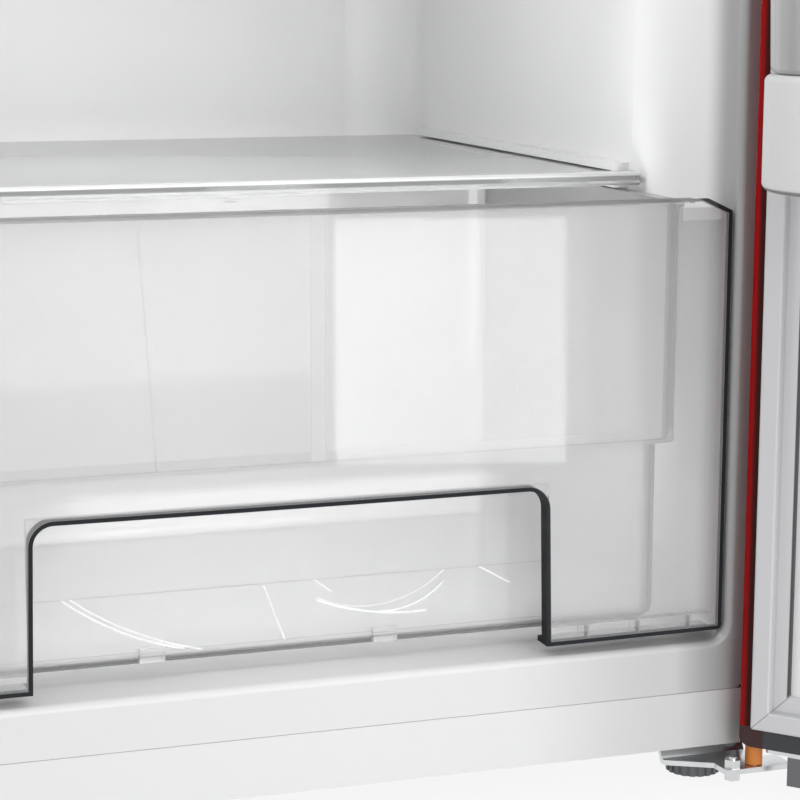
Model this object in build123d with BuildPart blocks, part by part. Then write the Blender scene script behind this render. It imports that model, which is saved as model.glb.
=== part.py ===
from build123d import *
import os

os.makedirs("parts", exist_ok=True)

# Two-door upright refrigerator, millimetres, +Z up.
# X runs to the right of someone facing the doors, Y runs back into the cabinet.
# The origin is on the floor, below the middle of the cabinet's front face.
# The freezer door is shut, and the lower door stands open by door_open degrees.

# Cabinet
cabinet_width = 550.0
cabinet_depth = 560.0
cabinet_top = 1460.0
door_split = 1008.0
foot_height = 24.0
sheet = 1.0
shoulder_r = 20.0
front_edge_r = 4.0
front_fold = 8.0
slip = 0.3

# Compartments
liner_wall = 2.0
lip_depth = 6.0
lip_corner_r = 5.0
lip_round = 4.0
mouth_lip = 19.0
side_wall = 39.0
rear_wall = 45.0
mouth_half = cabinet_width / 2 - mouth_lip
inner_half = cabinet_width / 2 - side_wall
mouth_straight = 7.0
flare_depth = 100.0
rear_wall_y = cabinet_depth - rear_wall
rear_corner_r = 45.0
edge_r = 10.0
mouth_r = 12.0
rail_top = 57.0
rail_depth = 22.0
mullion_half = 18.0
fridge_mouth = (86.0, door_split - 46)
fridge_inside = (88.0, door_split - 68)
mullion = (door_split - mullion_half, door_split + mullion_half)
freezer_mouth = (door_split + 46, cabinet_top - 36)
freezer_inside = (door_split + 66, cabinet_top - 55)
freezer_lip_top = cabinet_top - 9
freezer_shelf_level = (freezer_inside[0] + freezer_inside[1] - 9) / 2

# Step in the back of the floor, over the compressor
step_front = cabinet_depth - 225
step_lean = 14.0
step_top = 300.0
step_r = 16.0
bay_front = cabinet_depth - 175
bay_top = 262.0

# Ledge and bins on the lower door, drawn shut
ledge_low = 355.0
ledge_high = 414.0
ledge_reach = 123.5
ledge_corner_r = 60.0
ledge_half = mouth_half - 14
bin_half = ledge_half - 0.5
bin_wall = 2.5
bin_reach = 122.5
bin_corner_r = 58.0
bin_draft = 2.0
bin_height = 92.0
dairy_low = door_split - 260
bin_floors = (
    ledge_high + slip,
    (ledge_high + slip + dairy_low) / 2,
)

# Shelves and the ribs that carry them, each shelf between two door bins
low_shelf = 344.0
glass = 4.0
shelf_levels = (
    low_shelf,
    (bin_floors[0] + bin_height + bin_floors[1] - glass) / 2,
    (bin_floors[1] + bin_height + dairy_low - glass) / 2,
)
glass_corner_r = 12.0
shelf_front = 92.0
shelf_rear = rear_wall_y - 45
shelf_side_gap = 1.5
trim_height = 8.0
trim_depth = 13.0
trim_grip = 6.0
rib_height = 5.0
rib_reach = 9.0
rib_length = shelf_rear - flare_depth - 20
rib_gap = 1.0

# Crisper drawer
crisper_bottom = 92.0
crisper_height = 249.0
crisper_half = mouth_half - 1.5
crisper_chamfer = (15.0, 7.0)
crisper_face_y = 1.0
panel = 3.0
panel_bow = 3.5
tub_half = inner_half - 8
tub_wall = 2.5
tub_rear = step_front - 13
tub_top = 338.4
tub_corner_r = 14.0
tub_floor_r = 9.0
rim_height = 3.0
rim_reach = 6.5
grip_half = crisper_half - 111.5
grip_spread = 2.0
grip_height = 90.0
grip_r = 11.0
grip_room = 27.0
grip_roof = 203.0
web_ribs = (grip_half + 27, grip_half + 59, grip_half + 91)
web_rib_height = 9.0
runner_height = 7.0
runner_start = 14.0
crisper_travel = 230.0

# Doors, drawn shut
door_open = 131.0
door_low = 28.0
door_gap = 8.0
door_face_y = -8.5
door_side_depth = 42.0
door_crown = 20.0
door_front_r = 22.0
door_edge_r = 3.0
skin = 0.8
skin_fold = 9.0
cap_height = 12.0
gasket_width = 22.0
gasket_base = 2.6
gasket_bulb = 11.0
gasket_gap = 0.4
gasket_inset = 0.3
door_corner_r = 8.0
pocket_half = inner_half
pocket_low = 66.0
pocket_high = 338.0
pocket_depth = 12.0
dyke_low = door_split - 110
dyke_high = door_split - 78
dyke_half = inner_half - 56
dyke_reach = 104.0
cap_wall = 2.5
boss_r = 8.0
lug_width = 6.0
lug_height = 26.0
lug_reach = 9.0
small_ledge_r = 11.0
freezer_ledge = (door_split + 64, door_split + 118)
freezer_reach = 58.0
freezer_bin_floor = freezer_ledge[1] + slip
freezer_bin_height = 70.0
freezer_bin_r = 26.0

# Dairy box on the lower door
dairy_half = inner_half - 86
dairy_high = dairy_low + 58
dairy_reach = 70.0
dairy_pivot = (2.0, dairy_high + 12)
dairy_pin_r = 2.0
dairy_barrel_r = 3.5
lid_gap = 0.7
lugs = ((dairy_half, bin_floors[1] + 20), (100.0, dairy_low + 17))

# Hinges on the right-hand side
pin_inset = 7.5
pin_forward = 15.5
pin_r = 3.0
pin_play = 0.05
pin_grip = 11.0
bush_r = 5.0
hinge_plate = 3.0
hinge_nose_r = 7.0
hinge_drop = 8.0
hinge_gap = 0.4
bolt_r = 3.0
bolt_head_r = 5.5
bolt_head = 4.0
bolt_length = 12.0
stop_low = 8.0
bolt_inset = 41.0
bolt_line = 53.0
tongue_overhang = 13.0
hinge_step = 10.0
stop_bolt_r = 2.5

# Handles
handle_inset = 38.0
handle_reach = 34.0
handle_half_width = 11.0
handle_thickness = 13.0
post_r = 7.0
door_handle_low = door_split - 308
door_handle_length = 250.0
freezer_handle_low = door_split + 42
freezer_handle_length = 190.0

# Controls at the fresh-food ceiling
housing_half = 92.0
housing_front = 106.0
housing_length = 130.0
housing_drop = 36.0
housing_wall = 2.5
dial_x = -62.0
dial_y = 150.0
dial_r = 16.0
dial_depth = 11.0
stem_r = 4.0
plunger_x = 62.0
plunger_half = 4.0
plunger_play = 0.3
plunger_travel = 5.0

# Feet
foot_r = 16.0
foot_disc = 11.0
foot_stem_r = 5.0
foot_stem_top = 40.0
foot_inset_x = 23.5
foot_inset_y = 30.0
rear_foot_r = 15.0
rear_foot_y = cabinet_depth - 35

# Drain from the fresh-food floor
drain_r = 6.0
drain_y = cabinet_depth - 68
drain_end = 206.0

# Cooling circuit
rail_front_y = cabinet_depth - 155
rail_rear_y = cabinet_depth - 12
rail_sheet = 2.0
rail_edge = 14.0
pot_x = 95.0
pot_y = cabinet_depth - 84
pot_r = 62.0
pot_height = 152.0
pot_clearance = 14.0
coil_low = 340.0
coil_pitch = 84.0
coil_runs = 9
coil_half = cabinet_width / 2 - 60
coil_tube_r = 2.6
coil_stand = 9.0
wire = 1.6
wire_columns = 10
plate_half = inner_half - 51
plate_low = door_split + 97
plate_high = cabinet_top - 85
plate_thick = 1.6

half_width = cabinet_width / 2
fold_half = half_width - front_fold
lip_half = fold_half - slip
pin_x = half_width - pin_inset
pin_y = -pin_forward
glass_half = inner_half - shelf_side_gap
foot_x = half_width - foot_inset_x
door_top = door_split - door_gap / 2
freezer_low = door_split + door_gap / 2
freezer_top = cabinet_top - door_gap / 2
bolt_x = half_width - bolt_inset
stop_bolt_x = pin_x - 14.5
stop_bolt_y = pin_y - 2
low_bolts = ((bolt_x, bolt_line), (bolt_x + 28, bolt_line))
mid_bolts = ((bolt_x, door_split - 7), (bolt_x, door_split + 7))
top_bolts = ((bolt_x + 4, 20.0), (bolt_x + 4, 42.0))
hinge_axis = Axis((pin_x, pin_y, 0), (0, 0, 1))


def front_rect(depth, half, low, high, radius):
    """Rounded rectangle seen from the front, at one depth into the cabinet."""
    with BuildSketch(Plane.XZ.offset(-depth)) as outline:
        with Locations((0, (low + high) / 2)):
            RectangleRounded(2 * half, high - low, radius)
    return outline.sketch


def cabinet_block(inset, low, rear):
    """The cabinet's outside, taken in by one distance at the sides, top and front."""
    with BuildPart() as block:
        with BuildSketch(Plane.XZ.offset(-inset)) as outline:
            with Locations((0, low)):
                Rectangle(
                    cabinet_width - 2 * inset,
                    cabinet_top - inset - low,
                    align=(Align.CENTER, Align.MIN),
                )
            fillet(outline.vertices().group_by(Axis.Y)[-1], shoulder_r - inset)
        extrude(amount=inset - rear)
        front = block.faces().sort_by(Axis.Y)[0]
        fillet(front.edges().sort_by(Axis.Z)[1:], front_edge_r - inset)
    return block.part


def compartment(mouth, inside, grow):
    """Hollow of one compartment: a flared mouth, then straight walls with soft corners."""
    low, high = inside[0] - grow, inside[1] + grow
    mouth_low, mouth_high = mouth[0] - grow, mouth[1] + grow
    with BuildPart() as straight:
        with BuildSketch(Plane.XY.offset(low)) as plan:
            with Locations((0, flare_depth)):
                Rectangle(
                    2 * (inner_half + grow),
                    rear_wall_y + grow - flare_depth,
                    align=(Align.CENTER, Align.MIN),
                )
            fillet(plan.vertices().group_by(Axis.Y)[-1], rear_corner_r + grow)
        extrude(amount=high - low)
        ends = straight.faces().filter_by(Plane.XY).edges()
        fillet(ends.filter_by(lambda edge: edge.center().Y > flare_depth + 1), edge_r + grow)
    with BuildPart() as hollow:
        add(straight.part)
        extrude(
            front_rect(0, mouth_half + grow, mouth_low, mouth_high, mouth_r + grow),
            amount=-mouth_straight,
        )
        loft([
            front_rect(mouth_straight, mouth_half + grow, mouth_low, mouth_high, mouth_r + grow),
            front_rect(flare_depth, inner_half + grow, low, high, edge_r + grow),
        ])
    return hollow.part


def floor_step(grow):
    """Raised floor over the compressor, taken out of the hollow of the compartment."""
    with BuildPart() as step:
        with BuildSketch(Plane.YZ.offset(-cabinet_width)) as side:
            with BuildLine():
                Polyline(
                    (step_front + grow, 0),
                    (step_front + grow, fridge_inside[0]),
                    (step_front + step_lean + grow, step_top - grow),
                    (cabinet_depth, step_top - grow),
                    (cabinet_depth, 0),
                    close=True,
                )
            make_face()
            crest = side.vertices().group_by(Axis.Y)[-1].sort_by(Axis.X)[0]
            fillet(crest, step_r - grow)
        extrude(amount=2 * cabinet_width)
    return step.part


def plan_rect(height, half, front, rear, front_r, rear_r):
    """Rounded rectangle seen from above, at one height, even about the middle."""
    with BuildSketch(Plane.XY.offset(height)) as plan:
        with Locations((0, front)):
            Rectangle(2 * half, rear - front, align=(Align.CENTER, Align.MIN))
        if front_r > 0:
            fillet(plan.vertices().group_by(Axis.Y)[0], front_r)
        if rear_r > 0:
            fillet(plan.vertices().group_by(Axis.Y)[-1], rear_r)
    return plan.sketch


def plan_extrude(low, high, half, front, rear, corner_r):
    """Upright block with rounded corners."""
    with BuildPart() as block:
        extrude(plan_rect(low, half, front, rear, corner_r, corner_r), amount=high - low)
    return block.part


def block_between(low_corner, high_corner):
    """Plain block between two opposite corners."""
    size = [high - low for low, high in zip(low_corner, high_corner)]
    with BuildPart() as block:
        with Locations(low_corner):
            Box(*size, align=(Align.MIN, Align.MIN, Align.MIN))
    return block.part


def tray(half, front, rear, low, high, wall, front_r, rear_r, floor_r, draft):
    """Open-topped moulded box that narrows a little towards its rounded floor."""
    with BuildPart() as outside:
        loft([
            plan_rect(low, half - draft, front + draft, rear - draft, front_r, rear_r),
            plan_rect(high, half, front, rear, front_r, rear_r),
        ])
        fillet(outside.faces().sort_by(Axis.Z)[0].edges(), floor_r)
    with BuildPart() as inside:
        taken = draft + wall
        radii = (front_r - wall, rear_r - wall)
        loft([
            plan_rect(low + wall, half - taken, front + taken, rear - taken, *radii),
            plan_rect(high, half - wall, front + wall, rear - wall, *radii),
        ])
        fillet(inside.faces().sort_by(Axis.Z)[0].edges(), floor_r - wall)
    return outside.part - inside.part


def shelf_ribs(levels, low_x, front, length):
    """Pairs of ribs on both walls, below and above each shelf."""
    with BuildPart() as ribs:
        for level in levels:
            for base in (level - rib_height, level + glass + rib_gap):
                with BuildSketch(Plane.XY.offset(base)):
                    for side in (-1, 1):
                        with Locations((side * (low_x + 20), front)):
                            RectangleRounded(40, length, 4, align=(Align.CENTER, Align.MIN))
                extrude(amount=rib_height)
    return ribs.part


def liner(mouth, inside, lip_low, lip_high, hump, ribs):
    """Moulded inner wall of one compartment, with its boxed front lip and its ribs."""
    outer = compartment(mouth, inside, liner_wall)
    inner = compartment(mouth, inside, 0)
    if hump:
        outer -= floor_step(liner_wall)
        inner -= floor_step(0)
    carried = ribs & outer
    with BuildPart() as shell:
        opening_r = shoulder_r - front_fold - slip
        opening = front_rect(0, lip_half, 0, cabinet_top - front_fold - slip, opening_r)
        lip = front_rect(0, lip_half, lip_low, lip_high, lip_corner_r) & opening
        extrude(lip, amount=-lip_depth)
        add(outer)
        add(inner, mode=Mode.SUBTRACT)
        rim = shell.faces().sort_by(Axis.Y)[0].inner_wires()[0].edges()
        fillet(rim, lip_round)
        add(carried)
    return shell.part, outer


# The painted steel wrapper: sides and top in one sheet, folded in at the front.
wrapper_core = cabinet_block(sheet, 0, 2 * cabinet_depth)
with BuildPart() as cabinet_shell:
    add(cabinet_block(0, foot_height, cabinet_depth))
    add(wrapper_core, mode=Mode.SUBTRACT)
    extrude(
        front_rect(0, fold_half, 0, cabinet_top - front_fold, shoulder_r - front_fold),
        amount=-3 * front_edge_r,
        mode=Mode.SUBTRACT,
    )
    with BuildSketch(Plane.XY.offset(cabinet_top)):
        with Locations(*top_bolts):
            Circle(bolt_r + pin_play)
    extrude(amount=-3 * sheet, mode=Mode.SUBTRACT)
cabinet_shell.part.label = "cabinet_shell"
export_step(cabinet_shell.part, "parts/cabinet_shell.step")

# Moulded liners of the two compartments.
fridge_ribs = shelf_ribs(shelf_levels, inner_half - rib_reach, flare_depth + 4, rib_length)
with BuildPart() as runners:
    with BuildSketch(Plane.XY.offset(tub_top - rim_height - slip - runner_height)):
        for side in (-1, 1):
            with Locations((side * (tub_half + 2 * slip + 30), runner_start)):
                Rectangle(60, tub_rear - runner_start, align=(Align.CENTER, Align.MIN))
    extrude(amount=runner_height)
fridge_liner_solid, fridge_form = liner(
    fridge_mouth,
    fridge_inside,
    rail_top + slip,
    mullion[0] - slip,
    True,
    fridge_ribs + runners.part,
)
freezer_ribs = shelf_ribs((freezer_shelf_level,), inner_half - rib_reach, flare_depth + 4, rib_length)
freezer_liner_solid, freezer_form = liner(
    freezer_mouth,
    freezer_inside,
    mullion[1] + slip,
    freezer_lip_top,
    False,
    freezer_ribs,
)

# Front rail below the liner and the rail between the two doors, folded from sheet.
with BuildPart() as front_rail:
    with BuildSketch(Plane.YZ.offset(-lip_half)):
        with BuildLine():
            Polyline(
                (rail_depth, foot_height + sheet / 2),
                (sheet / 2, foot_height + sheet / 2),
                (sheet / 2, rail_top - sheet / 2),
                (rail_depth, rail_top - sheet / 2),
            )
        trace(line_width=sheet)
    extrude(amount=2 * lip_half)
front_rail.part.label = "front_rail"
export_step(front_rail.part, "parts/front_rail.step")

with BuildPart() as mullion_rail:
    with BuildSketch(Plane.YZ.offset(-lip_half)):
        with BuildLine():
            Polyline(
                (rail_depth, mullion[0] + sheet / 2),
                (sheet / 2, mullion[0] + sheet / 2),
                (sheet / 2, mullion[1] - sheet / 2),
                (rail_depth, mullion[1] - sheet / 2),
            )
        trace(line_width=sheet)
    extrude(amount=2 * lip_half)
    with BuildSketch(Plane.XZ):
        with Locations(*mid_bolts):
            Circle(bolt_r + pin_play)
    extrude(amount=-3 * sheet, mode=Mode.SUBTRACT)
mullion_rail.part.label = "mullion_rail"
export_step(mullion_rail.part, "parts/mullion_rail.step")

# Back and underside sheets of the cabinet.
pan_mid = foot_height + sheet + slip + sheet / 2
pan_top = pan_mid + sheet / 2
inner_wall = half_width - sheet - slip
back_face = cabinet_depth - sheet
with BuildPart() as base_pan:
    with BuildSketch(Plane.YZ.offset(-inner_wall)):
        with BuildLine():
            Polyline(
                (3, pan_mid),
                (bay_front, pan_mid),
                (bay_front, bay_top),
                (back_face - slip - 10, bay_top),
            )
        trace(line_width=sheet)
    extrude(amount=2 * inner_wall)
    with BuildSketch(Plane.XY):
        with Locations((-foot_x, foot_inset_y), (foot_x, foot_inset_y)):
            Circle(foot_stem_r + slip)
        with Locations(*low_bolts):
            Circle(bolt_r + pin_play)
    extrude(amount=rail_top, mode=Mode.SUBTRACT)
    with BuildSketch(Plane.XY.offset(bay_top - 20)):
        with Locations((pot_x, drain_y)):
            Circle(drain_r + slip)
    extrude(amount=40, mode=Mode.SUBTRACT)
base_pan.part.label = "base_pan"
export_step(base_pan.part, "parts/base_pan.step")

with BuildPart() as back_panel:
    with BuildSketch(Plane.XZ.offset(-back_face)) as outline:
        with Locations((0, bay_top - 12)):
            Rectangle(
                2 * inner_wall,
                cabinet_top - sheet - slip - bay_top + 12,
                align=(Align.CENTER, Align.MIN),
            )
        fillet(outline.vertices().group_by(Axis.Y)[-1], shoulder_r - sheet - slip)
    extrude(amount=-sheet)
    with BuildSketch(Plane.XZ.offset(-cabinet_depth)):
        with Locations((0, cabinet_top - 52), (0, bay_top + 50)):
            RectangleRounded(2 * inner_wall - 60, 10, 4)
    extrude(amount=sheet, mode=Mode.ADD)
back_panel.part.label = "back_panel"
export_step(back_panel.part, "parts/back_panel.step")

# Moulded socket of each front foot, and the plates the hinge screws bite into.
with BuildPart() as foot_sockets:
    with BuildSketch(Plane.XY.offset(pan_top)):
        with Locations((-foot_x, foot_inset_y), (foot_x, foot_inset_y)):
            RegularPolygon(foot_stem_r + 4, 6)
            Circle(foot_stem_r + pin_play, mode=Mode.SUBTRACT)
    extrude(amount=foot_stem_top - pan_top)
foot_sockets.part.label = "foot_sockets"
export_step(foot_sockets.part, "parts/foot_sockets.step")

with BuildPart() as hinge_anchors:
    with BuildSketch(Plane.XY.offset(pan_top)):
        with Locations((bolt_x + 14, bolt_line)):
            RectangleRounded(42, 16, 3)
        with Locations(*low_bolts):
            Circle(bolt_r + pin_play, mode=Mode.SUBTRACT)
    extrude(amount=4)
    with BuildSketch(Plane.XZ.offset(-sheet)):
        with Locations((bolt_x + 6, door_split)):
            RectangleRounded(36, 32, 3)
        with Locations(*mid_bolts):
            Circle(bolt_r + pin_play, mode=Mode.SUBTRACT)
    extrude(amount=-4)
    with BuildSketch(Plane.XY.offset(cabinet_top - sheet - 4)):
        with Locations((bolt_x + 4, 31)):
            RectangleRounded(18, 40, 3)
        with Locations(*top_bolts):
            Circle(bolt_r + pin_play, mode=Mode.SUBTRACT)
    extrude(amount=4)
hinge_anchors.part.label = "hinge_anchors"
export_step(hinge_anchors.part, "parts/hinge_anchors.step")

# Foam poured between the wrapper and the liners.
with BuildPart() as cabinet_foam:
    add(cabinet_block(sheet, pan_top, back_face))
    with Locations((0, bay_front - sheet / 2, 0)):
        Box(
            2 * cabinet_width,
            cabinet_depth,
            bay_top + sheet / 2,
            align=(Align.CENTER, Align.MIN, Align.MIN),
            mode=Mode.SUBTRACT,
        )
    with Locations((0, 0, 0)):
        Box(
            2 * cabinet_width,
            2 * lip_depth,
            2 * cabinet_top,
            align=(Align.CENTER, Align.CENTER, Align.MIN),
            mode=Mode.SUBTRACT,
        )
    for low, high in ((0, rail_top), mullion):
        with Locations((0, 0, low)):
            Box(
                2 * cabinet_width,
                2 * rail_depth,
                high - low,
                align=(Align.CENTER, Align.CENTER, Align.MIN),
                mode=Mode.SUBTRACT,
            )
    add(fridge_form, mode=Mode.SUBTRACT)
    add(freezer_form, mode=Mode.SUBTRACT)
    with BuildSketch(Plane.XY):
        with Locations((-foot_x, foot_inset_y), (foot_x, foot_inset_y)):
            RegularPolygon(foot_stem_r + 4, 6)
    extrude(amount=foot_stem_top + slip, mode=Mode.SUBTRACT)
    with BuildSketch(Plane.XY):
        with Locations((bolt_x + 14, bolt_line)):
            RectangleRounded(42, 16, 3)
    extrude(amount=rail_top, mode=Mode.SUBTRACT)
    with BuildSketch(Plane.XY.offset(cabinet_top)):
        with Locations((bolt_x + 4, 31)):
            RectangleRounded(18, 40, 3)
    extrude(amount=-40, mode=Mode.SUBTRACT)
    with BuildSketch(Plane.XY.offset(bay_top - 20)):
        with Locations((pot_x, drain_y)):
            Circle(drain_r)
    extrude(amount=60, mode=Mode.SUBTRACT)
cabinet_foam.part.label = "cabinet_foam"
export_step(cabinet_foam.part, "parts/cabinet_foam.step")

# Liners, with the drain hole in the fresh-food step.
with BuildPart() as fridge_liner:
    add(fridge_liner_solid)
    with BuildSketch(Plane.XY.offset(bay_top)):
        with Locations((pot_x, drain_y)):
            Circle(drain_r)
    extrude(amount=60, mode=Mode.SUBTRACT)
fridge_liner.part.label = "fridge_liner"
export_step(fridge_liner.part, "parts/fridge_liner.step")
freezer_liner_solid.label = "freezer_liner"
export_step(freezer_liner_solid, "parts/freezer_liner.step")

with BuildPart() as drain_tube:
    with BuildSketch(Plane.XY.offset(drain_end)):
        with Locations((pot_x, drain_y)):
            Circle(drain_r)
            Circle(drain_r - 1.5, mode=Mode.SUBTRACT)
    extrude(amount=step_top - drain_end)
drain_tube.part.label = "drain_tube"
export_step(drain_tube.part, "parts/drain_tube.step")

# Three glass shelves, each with a channel trim on its front edge.
with BuildPart() as shelf_glass:
    for level in shelf_levels:
        extrude(
            plan_rect(level, glass_half, shelf_front, shelf_rear, 2, glass_corner_r),
            amount=glass,
        )
shelf_glass.part.label = "shelf_glass"
export_step(shelf_glass.part, "parts/shelf_glass.step")

with BuildPart() as shelf_trim:
    with BuildSketch(Plane.YZ.offset(-glass_half)):
        for level in shelf_levels:
            with Locations((shelf_front + trim_grip - trim_depth / 2, level + glass / 2)):
                RectangleRounded(trim_depth, trim_height, 1.6)
            with Locations((shelf_front, level)):
                Rectangle(
                    trim_depth,
                    glass,
                    align=(Align.MIN, Align.MIN),
                    mode=Mode.SUBTRACT,
                )
    extrude(amount=2 * glass_half)
shelf_trim.part.label = "shelf_trim"
export_step(shelf_trim.part, "parts/shelf_trim.step")

# Crisper drawer: a tub whose front steps back for the fingers, behind a clear panel.
tub_front = crisper_face_y + panel_bow + panel
grip_back = tub_front + grip_room - panel
with BuildPart() as crisper_tub:
    add(plan_extrude(grip_roof, tub_top, tub_half, tub_front, tub_rear, tub_corner_r))
    add(plan_extrude(crisper_bottom + 1, tub_top, tub_half, grip_back, tub_rear, tub_corner_r))
    fillet(crisper_tub.faces().sort_by(Axis.Z)[0].edges(), tub_floor_r)
    add(plan_extrude(
        tub_top - rim_height,
        tub_top,
        tub_half + rim_reach,
        runner_start,
        tub_rear + rim_reach,
        tub_corner_r,
    ))
    inner = tub_half - tub_wall
    rear = tub_rear - tub_wall
    inner_r = tub_corner_r - tub_wall
    with BuildPart(mode=Mode.PRIVATE) as hollow:
        add(plan_extrude(
            crisper_bottom + 1 + tub_wall,
            tub_top,
            inner,
            grip_back + tub_wall,
            rear,
            inner_r,
        ))
        fillet(hollow.faces().sort_by(Axis.Z)[0].edges(), tub_floor_r - tub_wall)
        add(plan_extrude(
            grip_roof + tub_wall,
            tub_top,
            inner,
            tub_front + tub_wall,
            rear,
            inner_r,
        ))
    add(hollow.part, mode=Mode.SUBTRACT)
    for x in (-75, 58):
        add(block_between((x - 7, grip_back - 3, 96), (x + 7, grip_back + 1, 104)))
crisper_tub.part.label = "crisper_tub"
export_step(crisper_tub.part, "parts/crisper_tub.step")

crisper_top = crisper_bottom + crisper_height
panel_rear = crisper_face_y + panel_bow
grip_top = crisper_bottom + grip_height
blank_half = crisper_half + 4
blank_rear = crisper_face_y + panel_bow * (blank_half / crisper_half) ** 2
with BuildPart() as crisper_front:
    with BuildSketch(Plane.XY.offset(crisper_bottom)):
        with BuildLine():
            ThreePointArc(
                (-blank_half, blank_rear),
                (0, crisper_face_y),
                (blank_half, blank_rear),
            )
            Line((blank_half, blank_rear), (blank_half, blank_rear + panel))
            ThreePointArc(
                (blank_half, blank_rear + panel),
                (0, crisper_face_y + panel),
                (-blank_half, blank_rear + panel),
            )
            Line((-blank_half, blank_rear + panel), (-blank_half, blank_rear))
        make_face()
    extrude(amount=crisper_height)
    # rolled edge round the finger cut-out
    with BuildSketch(Plane.XZ.offset(-crisper_face_y - 0.7 * panel)):
        with Locations((0, crisper_bottom)):
            Rectangle(
                2 * (grip_half + 3),
                grip_height + 3,
                align=(Align.CENTER, Align.MIN),
            )
    extrude(amount=-7)
    # web along the bottom edge, with its upright ribs
    for side in (-1, 1):
        inside, outside = side * (grip_half + 2), side * (crisper_half - 8)
        low_x, high_x = min(inside, outside), max(inside, outside)
        add(block_between(
            (low_x, panel_rear, crisper_bottom),
            (high_x, tub_front + 9, crisper_bottom + panel),
        ))
        for x in web_ribs:
            add(block_between(
                (side * x - 1, panel_rear, crisper_bottom),
                (side * x + 1, tub_front + 9, crisper_bottom + web_rib_height),
            ))
    # flange over the top edge of the tub
    with BuildSketch(Plane.XY.offset(tub_top)):
        reach = tub_half + 4
        hook_y = panel_rear + panel / 2
        with BuildLine():
            Polyline(
                (reach, hook_y),
                (reach, tub_front + 5),
                (-reach, tub_front + 5),
                (-reach, hook_y),
            )
            ThreePointArc((-reach, hook_y), (0, crisper_face_y + panel / 2), (reach, hook_y))
        make_face()
    extrude(amount=crisper_top - tub_top)
    # outline seen from the front: cut-off top corners and the finger cut-out
    with BuildSketch(Plane.XZ.offset(cabinet_depth)) as outline:
        with BuildLine():
            Polyline(
                (-crisper_half, crisper_bottom),
                (crisper_half, crisper_bottom),
                (crisper_half, crisper_top - crisper_chamfer[1]),
                (crisper_half - crisper_chamfer[0], crisper_top),
                (crisper_chamfer[0] - crisper_half, crisper_top),
                (-crisper_half, crisper_top - crisper_chamfer[1]),
                close=True,
            )
        make_face()
        fillet(outline.vertices().group_by(Axis.Y)[0], 3)
        with BuildSketch(mode=Mode.SUBTRACT) as opening:
            with BuildLine():
                Polyline(
                    (-grip_half - grip_spread, crisper_bottom - 5),
                    (grip_half + grip_spread, crisper_bottom - 5),
                    (grip_half, grip_top),
                    (-grip_half, grip_top),
                    close=True,
                )
            make_face()
            fillet(opening.vertices().group_by(Axis.Y)[-1], grip_r)
    extrude(amount=-2 * cabinet_depth, mode=Mode.INTERSECT)
crisper_front.part.label = "crisper_front"
export_step(crisper_front.part, "parts/crisper_front.step")


def door_block(low, high, top_r, inset):
    """Outside of a door drawn shut, taken in by one distance on every side."""
    half = half_width - inset
    back = door_face_y - inset
    side = door_face_y - door_side_depth + inset
    with BuildPart() as block:
        with BuildSketch(Plane.XY.offset(low + inset)) as plan:
            with BuildLine():
                Polyline((-half, side), (-half, back), (half, back), (half, side))
                ThreePointArc((half, side), (0, side - door_crown), (-half, side))
            make_face()
            fillet(plan.vertices().group_by(Axis.Y)[0], door_front_r - inset)
            fillet(plan.vertices().group_by(Axis.Y)[-1], door_edge_r - inset)
        extrude(amount=high - low - 2 * inset)
        with BuildSketch(Plane.XZ.offset(cabinet_depth)) as outline:
            with Locations((0, low + inset)):
                Rectangle(
                    2 * half,
                    high - low - 2 * inset,
                    align=(Align.CENTER, Align.MIN),
                )
            fillet(outline.vertices().group_by(Axis.Y)[-1], top_r - inset)
            fillet(outline.vertices().group_by(Axis.Y)[0], door_corner_r - inset)
        extrude(amount=-2 * cabinet_depth, mode=Mode.INTERSECT)
    return block.part


def slab(low, high):
    """Everything between two heights."""
    span = 2 * cabinet_width
    return block_between((-span, -span, low), (span, span, high))


def door_skin(low, high, top_r):
    """Painted sheet round the face and the sides, folded in at the back."""
    fold = half_width - skin_fold
    wrap = door_block(low, high, top_r, 0) - door_block(low, high, top_r, skin)
    back = block_between((-fold, door_face_y - 3, 0), (fold, door_face_y + 3, 2 * cabinet_top))
    return (wrap - back) & slab(low + cap_height, high - cap_height)


def door_cap(low, high, top_r, at_top, bore):
    """Moulded cap that closes one end of the door, bored for the hinge pin."""
    start = high - cap_height if at_top else low
    solid = door_block(low, high, top_r, 0) & slab(start, start + cap_height)
    with BuildPart() as cap:
        add(solid)
        add(door_block(low, high, top_r, cap_wall), mode=Mode.SUBTRACT)
        with Locations((pin_x, pin_y, start)):
            Cylinder(
                boss_r,
                cap_height,
                align=(Align.CENTER, Align.CENTER, Align.MIN),
            )
        add(solid, mode=Mode.INTERSECT)
        with Locations((pin_x, pin_y, start)):
            Cylinder(
                bore,
                3 * cap_height,
                align=(Align.CENTER, Align.CENTER, Align.CENTER),
                mode=Mode.SUBTRACT,
            )
    return cap.part


def door_gasket(low, high):
    """Magnetic seal: a flat foot with a soft hollow-looking bulb along its outer half."""
    half = half_width - skin_fold - gasket_inset
    bottom, top = low + cap_height, high - cap_height
    with BuildPart() as seal:
        for depth, inset, width, reach in (
            (0, 0, gasket_width, gasket_base),
            (gasket_base, 1, gasket_bulb, -door_face_y - gasket_base - gasket_gap),
        ):
            start = door_face_y + depth
            outer = front_rect(start, half - inset, bottom + inset, top - inset, 1.5)
            taken = inset + width
            inner = front_rect(start, half - taken, bottom + taken, top - taken, 1.5)
            extrude(outer - inner, amount=-reach)
        fillet(seal.faces().sort_by(Axis.Y)[-1].edges(), 1.4)
    return seal.part


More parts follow.
